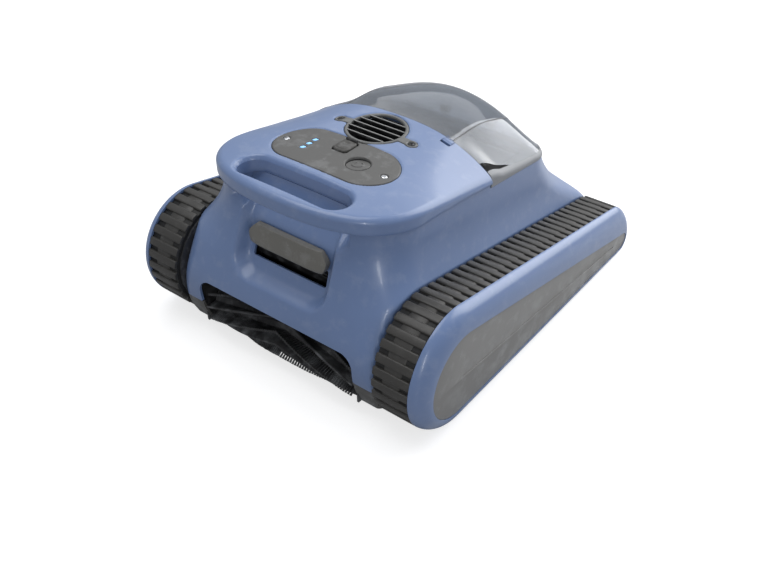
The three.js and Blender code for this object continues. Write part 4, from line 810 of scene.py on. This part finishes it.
def slot_wall():
    """The rim that lines the handle slot, down to the underside of the bar."""
    a = np.radians(np.linspace(-90, 90, 41))
    rings = []
    for grow, depth in [(0, 4.2), (0, 8), (0, 12), (0, 15.4), (0.3, 15.9), (1.3, 16.0), (2.4, 16.0),
                        (2.4, 8), (2.4, 4.2)]:
        r = 15.49 + grow
        c = GRIP_HALF + grow - r
        y0 = (GRIP_FRONT + GRIP_REAR) / 2
        right = np.column_stack([c + r * np.cos(a), y0 + r * np.sin(a)])
        left = np.column_stack([-c - r * np.cos(a), y0 - r * np.sin(a)])
        loop = even(np.vstack([right, left]), 220)
        rings.append(np.column_stack([loop, deck_skin(loop[:, 0], loop[:, 1]) - depth]))
    verts = np.vstack(rings)
    return verts, grid_faces(len(rings), 220, True) + [
        (8 * 220 + k, 8 * 220 + (k + 1) % 220, (k + 1) % 220, k) for k in range(220)]


def plate(name, x0, x1, y0, y1, step, keep, thickness, edge, material, lift=0.0):
    """A plate that follows the deck, cut to a flat shape with eased edges."""
    nx, ny = int((x1 - x0) / step) + 1, int((y1 - y0) / step) + 1
    gx, gy = np.meshgrid(np.linspace(x0, x1, nx), np.linspace(y0, y1, ny))
    flat = np.column_stack([gx.ravel(), gy.ravel()])
    flat, faces = trim(flat, grid_faces(ny, nx, False), keep)
    d = np.maximum(keep(flat), 0)
    top = deck_skin(flat[:, 0], flat[:, 1]) + lift - rounding(d, edge)
    low = deck_skin(flat[:, 0], flat[:, 1]) + lift - thickness
    used = sorted({v for f in faces for v in f})
    index = {v: i for i, v in enumerate(used)}
    faces = [tuple(index[v] for v in f) for f in faces]
    verts, faces = two_skins(np.column_stack([flat, top])[used], np.column_stack([flat, low])[used], faces)
    return build(name, verts, faces, material, sharp=42)


CAP_X, CAP_Y = -1.0, SEAM_Y - 62 - 15.5
BUTTON_X, BUTTON_Y = 27.0, PANEL_Y - 1.5
LIGHT_X = -31.0
LIGHTS = [PANEL_Y - 7.5, PANEL_Y + 1.0, PANEL_Y + 9.5]
SCREWS = [(56, PANEL_Y - 2), (-56, PANEL_Y - 2), (41, PUMP_Y - 2), (-41, PUMP_Y - 2)]


def make_panel():
    """The oval control plate with its openings for lights, screws, key and cap."""
    def keep(p):
        d = -stadium(p, PANEL_HALF, PANEL_R, PANEL_Y)
        for y in LIGHTS:
            lean = np.column_stack([p[:, 0] - (p[:, 1] - y) * 0.41, p[:, 1]])
            d = np.minimum(d, round_box(lean, LIGHT_X, y, 2.0, 2.2, 0.4))
        for x, y in SCREWS[:2]:
            d = np.minimum(d, disc(p, x, y, 3.3))
        d = np.minimum(d, disc(p, BUTTON_X, BUTTON_Y, 11.3))
        d = np.minimum(d, round_box(p, CAP_X, CAP_Y, 8.3, 10.3, 3))
        d = np.minimum(d, disc(p, -5, PANEL_Y + PANEL_R + 3, 7.5))
        return np.minimum(d, disc(p, 0, PUMP_Y, GRILLE_R + 2))
    panel = plate("control_plate", -66, 66, PANEL_Y - 31.5, PANEL_Y + 31.5, 0.62, keep, 2.4, 0.9, grey)
    return place(panel, "base", "grey_plastic", "control_panel")


def make_grille():
    """The outlet's ring with its two ears, and black bars with pale strips along their upper edges as a
    painted highlight.
    """
    def keep(p):
        d = np.minimum(-grille_shape(p), disc(p, 0, PUMP_Y, THROAT_R))
        for x, y in SCREWS[2:]:
            d = np.minimum(d, disc(p, x, y, 3.3))
        return d
    ring = plate("outlet_ring", -48, 48, PUMP_Y - 31, PUMP_Y + 31, 0.62, keep, 2.2, 1.1, ring_grey)
    place(ring, "base", "black_plastic", "outlet_grille")
    rows = [(0, PUMP_Y + k * 8.6, DECK_Z - 1.9) for k in (-2, -1, 0, 1, 2)]
    spans = [math.sqrt(27.0 ** 2 - (y - PUMP_Y) ** 2) / BAR_HALF for _, y, _ in rows]
    turns = [(0, 0, 0)] * len(rows)
    # The second pass lays thin pale strips on the bars' tops: a painted highlight.
    for name, rise, tall, material in (("outlet_bars", 0, 1.35, black), ("bar_edges", 1.4, 0.3, bar_highlight_paint)):
        sites = [(x, y, z + rise) for x, y, z in rows]
        bars = repeated(name, grille_bar(tall), sites, turns, material, {"Span": 1.0}, spans)
        place(bars, "base", "black_plastic", "outlet_grille")


def grille_bar(tall):
    """A straight bar of rounded section, half as high as told."""
    a = np.radians(np.linspace(0, 360, 17)[:-1])
    ring = np.column_stack([0.55 * np.sign(np.cos(a)) * np.abs(np.cos(a)) ** 0.6,
                            tall * np.sign(np.sin(a)) * np.abs(np.sin(a)) ** 0.6])
    rings = [np.column_stack([np.full(16, x), ring]) for x in np.linspace(-BAR_HALF, BAR_HALF, 9)]
    verts, faces = loft(rings)
    return build("bar_shape", verts, faces, black)


def repeated(name, seed, sites, turns, material, sizes, spans=None):
    """Copies of one small shape on points, made with Geometry Nodes and then plain mesh."""
    mesh = bpy.data.meshes.new(name)
    mesh.from_pydata((np.asarray(sites, float) * MM).tolist(), [], [])
    attribute = mesh.attributes.new("turn", "FLOAT_VECTOR", "POINT")
    attribute.data.foreach_set("vector", np.asarray(turns, np.float32).ravel())
    span = mesh.attributes.new("span", "FLOAT", "POINT")
    span.data.foreach_set("value", np.asarray(spans or [1.0] * len(sites), np.float32))
    host = link(name, mesh)
    tree = bpy.data.node_groups.new(name + "_rows", "GeometryNodeTree")
    tree.interface.new_socket("Sites", in_out="INPUT", socket_type="NodeSocketGeometry")
    for label, value in {**sizes, "Unevenness": 0.02}.items():
        socket = tree.interface.new_socket(label, in_out="INPUT", socket_type="NodeSocketFloat")
        socket.default_value = value
    tree.interface.new_socket("Pieces", in_out="OUTPUT", socket_type="NodeSocketGeometry")
    entry, leave = tree.nodes.new("NodeGroupInput"), tree.nodes.new("NodeGroupOutput")
    shape = tree.nodes.new("GeometryNodeObjectInfo")
    shape.inputs["Object"].default_value = seed
    turn, width = (node(tree, "GeometryNodeInputNamedAttribute", data_type=kind, Name=label)
                   for kind, label in (("FLOAT_VECTOR", "turn"), ("FLOAT", "span")))
    random = tree.nodes.new("FunctionNodeRandomValue")
    random.data_type = "FLOAT"
    random.inputs["Seed"].default_value = 7
    spread = math_node(tree, "MULTIPLY", random.outputs[1], entry.outputs["Unevenness"])
    height = math_node(tree, "SUBTRACT", 1.0, spread)
    across = math_node(tree, "MULTIPLY", width.outputs[0], entry.outputs[next(iter(sizes))])
    scale = tree.nodes.new("ShaderNodeCombineXYZ")
    tree.links.new(across, scale.inputs["X"])
    scale.inputs["Y"].default_value = 1.0
    tree.links.new(height, scale.inputs["Z"])
    put_on = tree.nodes.new("GeometryNodeInstanceOnPoints")
    tree.links.new(entry.outputs["Sites"], put_on.inputs["Points"])
    tree.links.new(shape.outputs["Geometry"], put_on.inputs["Instance"])
    tree.links.new(turn.outputs[0], put_on.inputs["Rotation"])
    tree.links.new(scale.outputs[0], put_on.inputs["Scale"])
    real = tree.nodes.new("GeometryNodeRealizeInstances")
    coat = tree.nodes.new("GeometryNodeSetMaterial")
    coat.inputs["Material"].default_value = material
    tree.links.new(put_on.outputs[0], real.inputs[0])
    tree.links.new(real.outputs[0], coat.inputs["Geometry"])
    tree.links.new(coat.outputs[0], leave.inputs[0])
    modifier = host.modifiers.new("rows", "NODES")
    modifier.node_group = tree
    for item in tree.interface.items_tree:
        if item.in_out == "INPUT" and item.name in sizes:
            modifier[item.identifier] = sizes[item.name]
    settle(host, 42)
    bpy.data.objects.remove(seed)
    return host


# ---------- pieces: side covers and tracks ----------
def cover_outline(t, inset, n):
    """The cover's edge: from the track's own outline at 0 to the rim of the inset at 1."""
    def mix(round_, inlay):
        (y1, z1, r1), (y2, z2, r2) = round_, inlay
        start, end = r1 - GAP, r2 + INLAY_RIM
        return y1 + (y2 - y1) * t, z1 + (z2 - z1) * t, start + (end - start) * t - inset
    return even(hull(mix(NOSE, INLAY_NOSE), mix(TAIL, INLAY_TAIL), 96), n)


def inlay_outline(inset, n=260):
    (y1, z1, r1), (y2, z2, r2) = INLAY_NOSE, INLAY_TAIL
    return even(hull((y1, z1, r1 - inset), (y2, z2, r2 - inset), 96), n)


def make_cover(side, name):
    """A track cover: rounded outer skin with the inset's recess, and its inner skin."""
    n = 300
    rings = [np.column_stack([np.full(n, COVER_IN), cover_outline(0, 0, n)])]
    for a in np.radians(np.linspace(2, 90, 34)):
        ring = cover_outline(1 - math.cos(a), 0, n)
        rings.append(np.column_stack([np.full(n, COVER_IN + COVER_T * math.sin(a)), ring]))
    rim = inlay_outline(0, n)
    rings.append(np.column_stack([np.full(n, COVER_OUT), inlay_outline(-0.35, n)]))
    rings.append(np.column_stack([np.full(n, COVER_OUT - 0.3), rim]))
    rings.append(np.column_stack([np.full(n, COVER_OUT - 2.4), rim]))
    outer = np.vstack(rings)
    faces = grid_faces(len(rings), n, True)
    faces.append(tuple(range((len(rings) - 1) * n, len(rings) * n)))
    back = []
    for a in np.radians(np.linspace(0, 90, 12)):
        ring = cover_outline(1 - math.cos(a), COVER_WALL, n)
        back.append(np.column_stack([np.full(n, COVER_IN + 8.5 * math.sin(a)), ring]))
    start = len(outer)
    inner = np.vstack(back)
    more = [tuple(v + start for v in f[::-1]) for f in grid_faces(len(back), n, True)]
    more.append(tuple(range(start + (len(back) - 1) * n, start + len(back) * n))[::-1])
    rim_faces = [(k, start + k, start + (k + 1) % n, (k + 1) % n) for k in range(n)]
    verts = np.vstack([outer, inner]) * [side, 1, 1]
    cover = build("side_cover_" + name + "_skin", verts, faces + more + rim_faces, blue)
    return place(cover, "base", "blue_plastic", "side_cover_" + name)


def make_inlay(side, name):
    """The grey inset in a track cover, with the long groove cut in it."""
    out = COVER_OUT - 0.6
    verts, faces = prism_x(inlay_outline(GAP), out - 1.5, out)
    piece = build("inlay_" + name, verts * [side, 1, 1], faces, side_grey)
    a, b = np.array([NOSE[0] + 5, 50.0]), np.array([TAIL[0] - 8, 18.0])
    way = (b - a) / np.linalg.norm(b - a)
    across = np.array([-way[1], way[0]]) * 0.9
    line = np.array([a - across, b - across, b + across, a + across])
    cut_verts, cut_faces = prism_x(line, out - 0.8, out + 1)
    cut_by(piece, build("groove_shape", cut_verts * [side, 1, 1], cut_faces, black))
    bevelled(piece, 0.35, 2)
    return place(piece, "base", "grey_plastic", "side_inlay_" + name)


def pod_walk(inset, steps):
    """Points and outward normals evenly round a track's outline."""
    loop = even(pod(inset, 220), steps)
    ahead = np.roll(loop, -1, axis=0) - np.roll(loop, 1, axis=0)
    ahead /= np.linalg.norm(ahead, axis=1)[:, None]
    normal = np.column_stack([ahead[:, 1], -ahead[:, 0]])
    return loop, normal


def belt_lug():
    """One tread bar: rounded, with a lower shoulder on its leading side."""
    half, length, n = 18.5, 8.1, 12
    a = np.radians(np.linspace(0, 180, n + 1))
    top = np.column_stack([length / 2 * np.sign(np.cos(a)) * np.abs(np.cos(a)) ** 0.42,
                           LUG_H * np.abs(np.sin(a)) ** 0.42])
    section = np.vstack([top, [[-length / 2, -0.8], [length / 2, -0.8]]])
    rings = []
    for x, s in [(-half, 0.86), (-half + 0.35, 0.95), (-half + 1, 1), (-7, 1), (7, 1), (half - 1, 1),
                 (half - 0.35, 0.95), (half, 0.86)]:
        rings.append(np.column_stack([np.full(len(section), x), section[:, 0] * s,
                                      np.where(section[:, 1] > 0, section[:, 1] * s, section[:, 1])]))
    verts, faces = loft(rings)
    return build("lug_shape", verts, faces, tread)


def belt_ledge():
    """The low ledge between two tread bars."""
    verts, faces = loft([np.array([[x, -3.2, -0.6], [x, 3.2, -0.6], [x, 3.2, h], [x, -3.2, h]])
                         for x, h in ((-9, 0.3), (-7.5, 1.2), (7.5, 1.2), (9, 0.3))])
    return build("ledge_shape", verts, faces, tread)


def make_belt(side, name):
    """A closed rubber band with tread bars and ledges repeated round it."""
    middle = side * (BELT_IN + BELT_OUT) / 2
    loop, normal = pod_walk(3.0, 720)
    rings = []
    for x, depth in [(-18.5, 0.5), (-17.8, 0.0), (17.8, 0.0), (18.5, 0.5), (18.5, 3.2), (17.8, 3.4),
                     (-17.8, 3.4), (-18.5, 3.2)]:
        p = loop - normal * depth
        rings.append(np.column_stack([np.full(len(p), middle + x), p]))
    verts = np.vstack(rings)
    n = len(loop)
    faces = grid_faces(len(rings), n, True)
    last = (len(rings) - 1) * n
    faces += [(last + k, last + (k + 1) % n, (k + 1) % n, k) for k in range(n)]
    # The band between the lugs takes the darkened rubber: painted shade in the grooves.
    band = build("belt_band_" + name, verts, faces, groove)
    place(band, "base", "tyre_rubber", "track_belt_" + name)
    loop, normal = pod_walk(3.0, LUG_COUNT * 2)
    angle = np.arctan2(-normal[:, 0], normal[:, 1])
    for first, seed, label in ((0, belt_lug(), "lugs"), (1, belt_ledge(), "ledges")):
        pick = slice(first, None, 2)
        sites = np.column_stack([np.full(LUG_COUNT, middle), loop[pick]])
        turns = np.column_stack([angle[pick], np.zeros(LUG_COUNT), np.zeros(LUG_COUNT)])
        bars = repeated("belt_" + label + "_" + name, seed, sites, turns, tread, {"Bar width": 1.0})
        place(bars, "base", "tyre_rubber", "track_belt_" + name)


# ---------- pieces: canopy ----------
def rim_half(y):
    """Half width of the canopy's rim."""
    z = seat(y)
    w, r = body_at(1, z) + 0.5, body_at(5, z) + 0.5
    past = np.maximum(y - (LID_REAR - r), 0)
    return w - r + np.sqrt(np.maximum(r * r - past * past, 0))


def soft_lid(u, y, half):
    """The canopy's height with its crease softened."""
    return np.mean([lid_skin((u + d) * half, y, half) for d in np.linspace(-0.02, 0.02, 7)], axis=0)


def make_canopy():
    """The smoked canopy with its two hinge ears and its trim."""
    y0 = SEAM_Y + GAP
    share = np.linspace(0, 1, 96) ** 0.9
    us = np.sin(np.radians(np.linspace(-90, 90, 121)))
    rows = []
    for y in y0 + (LID_REAR - y0) * share:
        half = float(rim_half(y))
        x = us * half
        z = soft_lid(us, np.full(len(us), y), half)
        base = seat(y) + GAP
        z = np.maximum(z - rounding(half - np.abs(x), 3.0), base + 0.3)
        left = [[-half, y, base + (z[0] - base) * t] for t in (0, 0.33, 0.66)]
        right = [[half, y, base + (z[-1] - base) * t] for t in (0.66, 0.33, 0)]
        rows.append(np.array(left + np.column_stack([x, np.full(len(x), y), z]).tolist() + right))
    last = rows[-1]
    base = seat(LID_REAR) + GAP
    for t in (0.7, 0.4, 0.0):
        row = last.copy()
        row[:, 2] = base + (last[:, 2] - base) * t
        rows.append(row)
    verts, faces = np.vstack(rows), grid_faces(len(rows), len(rows[0]), False)
    verts, faces = thick(verts, faces, 2.2)
    lid = build("canopy_shell", verts, faces, smoke, sharp=60)
    lugs = []
    for side in (1, -1):
        lug_verts, lug_faces = hinge_ear(side * 28.85, 4.8)
        lugs.append(build("canopy_ear", lug_verts, lug_faces, charcoal))
    place(lid, "lid", "smoked_clear", "canopy_lid")
    make_canopy_trim()
    for lug in lugs:
        bevelled(lug, 0.5, 2)
        place(lug, "lid", "dark_plastic", "canopy_lid")


def lid_strip(name, material, ys, near, far, wall=False):
    """A thin strip lying on both sides of the canopy, between two distances from its rim."""
    for side, label in ((1, "_right"), (-1, "_left")):
        rows = []
        for y in ys:
            half, base = float(rim_half(y)), seat(y) + GAP + 0.3
            x = half - (near(y) + (far(y) - near(y)) * np.linspace(0, 1, 12) ** 1.5)
            z = soft_lid(x / half, np.full(len(x), y), half)
            z = np.maximum(z - rounding(half - x, 3.0), base)
            if wall:
                x, z = np.append(half, x), np.append(base, z)
            rows.append(np.column_stack([side * (x + 0.2), np.full(len(x), y), z + 0.2]))
        outer, faces = np.vstack(rows), grid_faces(len(rows), len(rows[0]), False)
        verts, faces = thick(outer, faces, 0.15)
        place(build(name + label, verts, faces, material), "lid", "grey_plastic", "canopy_lid")


def make_canopy_trim():
    """The tinted band along the canopy's foot, a black strip at the seam's corner that is painted shade
    standing in for the shaded inside seen through the canopy, and a charcoal line of painted shade along
    the crease.
    """
    start = SEAM_Y + GAP + 0.4

    def band(y):
        return 5.5 * (1 - 0.3 * ease((y - 20) / 70))

    def corner(y):
        return band(y) + 0.5 + 8 * (1 - (y - start) / 38)

    def ridge(y):
        return float(rim_half(y)) * (1 - CREASE)
    lid_strip("canopy_band", band_grey, np.linspace(start, LID_REAR - 8, 70), lambda y: 0.0, band, True)
    # Painted shade: a black strip on the canopy's corner by the seam, standing in for the shaded inside.
    lid_strip("canopy_corner", painted_shade_black, np.linspace(start, start + 38, 30),
              lambda y: band(y) + 0.1, corner)
    # Painted shade: a thin charcoal line laid along the crease between the roof and the facet.
    lid_strip("canopy_ridge", charcoal, np.linspace(start, LID_REAR - 14, 70),
              lambda y: ridge(y) - 0.4, lambda y: ridge(y) + 0.4)


def hinge_ear(x, half):
    """An ear round one hinge pin."""
    hy, hz = LID_REAR + 5.5, seat(LID_REAR + 5.5) + 5
    a = np.radians(np.linspace(-120, 100, 22))
    tip = np.column_stack([hy + 4.1 * np.cos(a), hz + 4.1 * np.sin(a)])
    outline = np.vstack([tip, [[LID_REAR - 1.5, hz + 6.5], [LID_REAR - 1.5, hz - 1.5]]])
    return prism_x(outline, x - half, x + half)


# ---------- pieces: small fittings ----------
def screw_seed(material):
    """A domed cross-head screw."""
    n = 48
    a = np.linspace(0, 2 * math.pi, n, endpoint=False)
    rings = [np.column_stack([r * np.cos(a), r * np.sin(a), np.full(n, z)]) for r, z in
             [(2.95, -2.0), (2.95, -0.6), (2.85, -0.25), (2.55, 0.0), (2.0, 0.22), (1.2, 0.36), (0.4, 0.4)]]
    verts, faces = loft(rings)
    seed = build("screw_shape", verts, faces, material)
    for turn in (0, math.pi / 2):
        c, s = math.cos(turn), math.sin(turn)
        corner = [(-1.7, -0.36), (1.7, -0.36), (1.7, 0.36), (-1.7, 0.36)]
        cut_verts, cut_faces = prism_z([(c * x - s * y, s * x + c * y) for x, y in corner], -0.8, 1.0)
        cut_by(seed, build("cross_shape", cut_verts, cut_faces, material))
    return seed


def make_screws():
    leans = [(0.12, 0.4), (-0.12, 1.1), (0.06, 0.8), (-0.06, 0.2)]
    for label, first, material in (("panel", 0, steel), ("grille", 2, dark_steel)):
        spots = SCREWS[first:first + 2]
        sites = [(x, y, float(deck_skin(x, y)) - 0.4) for x, y in spots]
        turns = [(0, side, spin) for side, spin in leans[first:first + 2]]
        screws = repeated(label + "_screws", screw_seed(material), sites, turns, material, {"Head": 1.0})
        place(screws, "base", "steel", label + "_screw_right", label + "_screw_left")


def make_cap():
    """The soft cap over the charging inlet, with a raised oval pad and its live hinge."""
    n = 96
    a = np.linspace(0, 2 * math.pi, n, endpoint=False)
    base = deck_skin(0, CAP_Y)
    rings = []
    for grow, z in [(0, -0.9), (0, 0.6), (-0.35, 1.2), (-1.0, 1.5), (-2.0, 1.6), (-2.6, 1.75), (-2.9, 2.1),
                    (-3.4, 2.2), (-5.0, 2.2), (-5.4, 2.1), (-5.8, 1.8), (-7.4, 1.7)]:
        hx, hy, p = 8 + grow, 10 + grow, 0.55
        x = CAP_X + hx * np.sign(np.cos(a)) * np.abs(np.cos(a)) ** p
        y = CAP_Y + hy * np.sign(np.sin(a)) * np.abs(np.sin(a)) ** p
        rings.append(np.column_stack([x, y, np.full(n, base + z)]))
    verts, faces = loft(rings)
    cap = build("inlet_cap", verts, faces, cap_rubber)
    place(cap, "port_cap", "soft_rubber", "charge_cap")
    profile = [(0.2, -6.0), (1.3, -6.0), (1.6, -5.6), (1.6, 5.6), (1.3, 6.0), (0.2, 6.0)]
    verts, faces = lathe_x([(r, x + CAP_X) for r, x in profile], CAP_Y + 10, base + 1.9, 24)
    place(build("inlet_cap_barrel", verts, faces, rubber), "port_cap", "soft_rubber", "charge_cap")


def make_button():
    """Round key set flush at its near side and dished down to its far side, with a raised arc."""
    n = 120
    a = np.linspace(0, 2 * math.pi, n, endpoint=False)
    base = float(deck_skin(BUTTON_X, BUTTON_Y))
    foot = [BUTTON_X + 11 * np.cos(a), BUTTON_Y + 11 * np.sin(a), np.full(n, base - 3.2)]
    rings = [np.column_stack(foot)]
    for r in (11, 10.85, 10.6, 10.2, 9.6, 8.8, 7.8, 6.6, 5.9, 5.6, 5.3, 4.6, 4.3, 4.0, 3, 2, 1, 0.3):
        y = r * np.sin(a)
        far = r * (0.8 * np.sin(a) - 0.6 * np.cos(a))
        drop = 0.15 + 2.3 * ease((far + 9.5) / 21) + 0.5 * max(0, (r - 10.2) / 0.8) ** 2
        turn = np.mod(a - math.radians(110), 2 * math.pi)
        mark = ease((r - 4.0) / 0.35) * ease((5.85 - r) / 0.35)
        mark = mark * ease((2.9 - np.abs(turn - math.pi)) / 0.3)
        rings.append(np.column_stack([BUTTON_X + r * np.cos(a), BUTTON_Y + y, base - drop + 0.55 * mark]))
    verts, faces = loft(rings)
    place(build("power_key", verts, faces, grey), "button", "grey_plastic", "power_button")


def make_lights():
    """Three slanted status lenses."""
    slant = ((-2.45, -1.9), (0.9, -1.9), (2.45, 1.9), (-0.9, 1.9))
    for k, y in enumerate(LIGHTS):
        base = float(deck_skin(LIGHT_X, y))
        outline = [(LIGHT_X + dx, y + dy) for dx, dy in slant]
        verts, faces = prism_z(outline, base - 2.2, base - 0.05)
        light = bevelled(build(f"status_lens_{k + 1}", verts, faces, lens), 0.5, 3)
        place(light, "base", "led_lens", f"status_light_{k + 1}")


def make_visor():
    """The grey lip over the front jet gap, curved across its width."""
    u, rows = np.linspace(-1, 1, 61), []
    profile = [(120, 41.6, 30.3), (120.8, 42.4, 30.05), (124, 43.9, 30.5), (129, 45.2, 31.6),
               (131, 44.6, 32.2), (134, 42.3, 33.2), (137.8, 38.4, 34.7), (138.8, 37, 35.2)]
    for z, half, depth in profile:
        dip = 2.0 * np.abs(u) ** 7
        rows.append(np.column_stack([u * half, FRONT + depth + dip, np.full(len(u), z)]))
    outer = np.vstack(rows)
    inner = np.column_stack([outer[:, 0], FRONT + 41.4 - 0.12 * (139 - outer[:, 2]), outer[:, 2]])
    verts, faces = two_skins(outer, inner, grid_faces(len(rows), len(u), False))
    visor = bevelled(build("front_visor", verts, faces, visor_grey), 0.5, 3, 50)
    place(visor, "base", "grey_plastic", "jet_visor")


def make_latch():
    """The sliding catch at the seam, with a finger ridge across it."""
    grid = np.meshgrid(np.linspace(55.2, 64.8, 13), np.linspace(SEAM_Y - 7, SEAM_Y - 0.4, 9))
    x, y = (part.ravel() for part in grid)
    top = deck_skin(x, y) + 0.3 + 0.5 * (np.abs(y - SEAM_Y + 3.5) < 1.6)
    low = np.full(len(x), float(deck_skin(65, SEAM_Y)) - 2.9)
    outer, inner = np.column_stack([x, y, top]), np.column_stack([x, y, low])
    verts, faces = two_skins(outer, inner, grid_faces(9, 13, False))
    latch = bevelled(build("lid_catch", verts, faces, blue), 0.5, 2, 50)
    place(latch, "latch", "dark_plastic", "lid_latch")


def twist_at(x):
    """How far the brush's rows have wound on at a distance from its middle."""
    return abs(x) / BRUSH_HALF * math.pi / 3


def make_brush():
    """Soft rubber blades with a fringe of bristle tufts along each spiral row."""
    fins, steps = 6, 60
    rings = []
    for x in np.linspace(-90, 90, steps + 1):
        ring = []
        for k in range(fins):
            for offset, r in [(-0.36, 14), (-0.1, 15), (-0.055, 22), (-0.04, 26.5), (0, 27.2), (0.04, 26.5),
                              (0.055, 22), (0.1, 15)]:
                a = 2 * math.pi * (k + offset) / fins + twist_at(x)
                ring.append((x, BRUSH_Y + r * math.cos(a), BRUSH_Z + r * math.sin(a)))
        rings.append(np.array(ring))
    verts, faces = loft(rings)
    place(build("brush_blades", verts, faces, rubber), "brush", "soft_rubber", "brush_sleeve")
    n = 6
    a = np.linspace(0, 2 * math.pi, n, endpoint=False)
    shape = [np.column_stack([r * np.cos(a), r * np.sin(a), np.full(n, z)])
             for r, z in ((0.9, 0), (1.0, 12), (1.35, 15.4))]
    verts, faces = loft(shape)
    seed = build("tuft_shape", verts, faces, black)
    sites, turns = [], []
    for x in np.linspace(-87.5, 87.5, 71):
        for k in range(fins):
            angle = 2 * math.pi * (k + 0.5) / fins + twist_at(x)
            sites.append((x, BRUSH_Y + 14 * math.cos(angle), BRUSH_Z + 14 * math.sin(angle)))
            turns.append((angle - math.pi / 2, 0, 0))
    tufts = repeated("brush_tufts", seed, sites, turns, black, {"Tuft": 1.0})
    place(tufts, "brush", "soft_rubber", "brush_sleeve")


# ---------- assembly ----------
make_body()
make_chassis()
make_deck()
make_panel()
make_grille()
for hand, hand_name in ((1, "right"), (-1, "left")):
    make_cover(hand, hand_name)
    make_inlay(hand, hand_name)
    make_belt(hand, hand_name)
make_canopy()
make_screws()
make_cap()
make_button()
make_lights()
make_visor()
make_latch()
make_brush()

CARRIED = {
    charcoal: ("track_frame", "idler_wheel", "drive_wheel", "support_roller", "bay_liner", "filter_basket",
               "sealed_housing", "housing_lid", "impeller", "brush_core"),
    black: ("charge_socket", "front_vent", "impeller_shroud", "intake_flap", "brush_gear", "transfer_gear"),
    steel: ("idler_axle", "drive_shaft", "roller_axle", "gear_motor", "pump_motor", "brush_bush",
            "hinge_pin"),
    mesh_cloth: ("basket_screen",),
    board: ("battery_pack", "control_board"),
}
for coat, starts in CARRIED.items():
    for name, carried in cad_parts.items():
        if name.startswith(starts):
            carried.data.materials.clear()
            carried.data.materials.append(coat)


# ---------- studio ----------
def make_floor():
    """White sweep: half lit, half plain white to the lens, so that soft shadows stay on it."""
    mesh = bpy.data.meshes.new("floor")
    mesh.from_pydata([(-8, -8, 0), (8, -8, 0), (8, 8, 0), (-8, 8, 0)], [], [(0, 1, 2, 3)])
    floor = link("floor", mesh)
    material = bpy.data.materials.new("studio_floor")
    material.use_nodes = True
    tree = material.node_tree
    shader = tree.nodes["Principled BSDF"]
    shader.inputs["Base Color"].default_value = (0.45, 0.45, 0.455, 1)
    shader.inputs["Roughness"].default_value = 0.3
    shader.inputs["Specular IOR Level"].default_value = 0.3
    white = tree.nodes.new("ShaderNodeEmission")
    white.inputs["Color"].default_value = (1, 1, 1, 1)
    white.inputs["Strength"].default_value = 0.7
    path, mixer = tree.nodes.new("ShaderNodeLightPath"), tree.nodes.new("ShaderNodeMixShader")
    both = tree.nodes.new("ShaderNodeAddShader")
    tree.links.new(shader.outputs[0], both.inputs[0])
    tree.links.new(white.outputs[0], both.inputs[1])
    tree.links.new(path.outputs["Is Camera Ray"], mixer.inputs[0])
    tree.links.new(shader.outputs[0], mixer.inputs[1])
    tree.links.new(both.outputs[0], mixer.inputs[2])
    tree.links.new(mixer.outputs[0], tree.nodes["Material Output"].inputs[0])
    mesh.materials.append(material)


def aim(holder, spot, target):
    holder.location = spot
    holder.rotation_euler = (Vector(target) - Vector(spot)).to_track_quat("-Z", "Y").to_euler()


def softbox(name, spot, target, wide, tall, power, colour=(1, 1, 1)):
    lamp = bpy.data.lights.new(name, "AREA")
    lamp.shape = "RECTANGLE"
    lamp.size, lamp.size_y = wide, tall
    lamp.energy = power
    lamp.color = colour
    aim(link(name, lamp), spot, target)


def make_world():
    world = bpy.data.worlds.new("studio")
    bpy.context.scene.world = world
    world.use_nodes = True
    tree = world.node_tree
    background = tree.nodes["Background"]
    background.inputs["Color"].default_value = (0.92, 0.95, 1.0, 1)
    background.inputs["Strength"].default_value = 0.47
    white = tree.nodes.new("ShaderNodeBackground")
    white.inputs["Color"].default_value = (1, 1, 1, 1)
    path, mixer = tree.nodes.new("ShaderNodeLightPath"), tree.nodes.new("ShaderNodeMixShader")
    tree.links.new(path.outputs["Is Camera Ray"], mixer.inputs[0])
    tree.links.new(background.outputs[0], mixer.inputs[1])
    tree.links.new(white.outputs[0], mixer.inputs[2])
    tree.links.new(mixer.outputs[0], tree.nodes["World Output"].inputs[0])


def make_camera():
    camera = link("view", bpy.data.cameras.new("view"))
    aim(camera, (0.4568, -0.6233, 0.5817), (-0.0197, 0, -0.0268))
    camera.data.lens = 42.1
    camera.data.sensor_width = 36
    bpy.context.scene.camera = camera


make_floor()
softbox("top_light", (-0.3, -0.1, 1.6), (0, 0, 0.1), 1.2, 1.2, 12)
softbox("sweep_light", (-0.8, 1.5, 1.2), (0, 0, 0.15), 1.6, 1.0, 4.5)
softbox("strip_light", (1.15, -1.25, 0.75), (0.08, -0.1, 0.1), 0.12, 0.8, 4.5)
softbox("rear_light", (0.47, 1.3, 0.88), (0.08, 0.04, 0.16), 1.3, 1.5, 22)
make_world()
make_camera()
bpy.context.scene.view_settings.view_transform = "Standard"
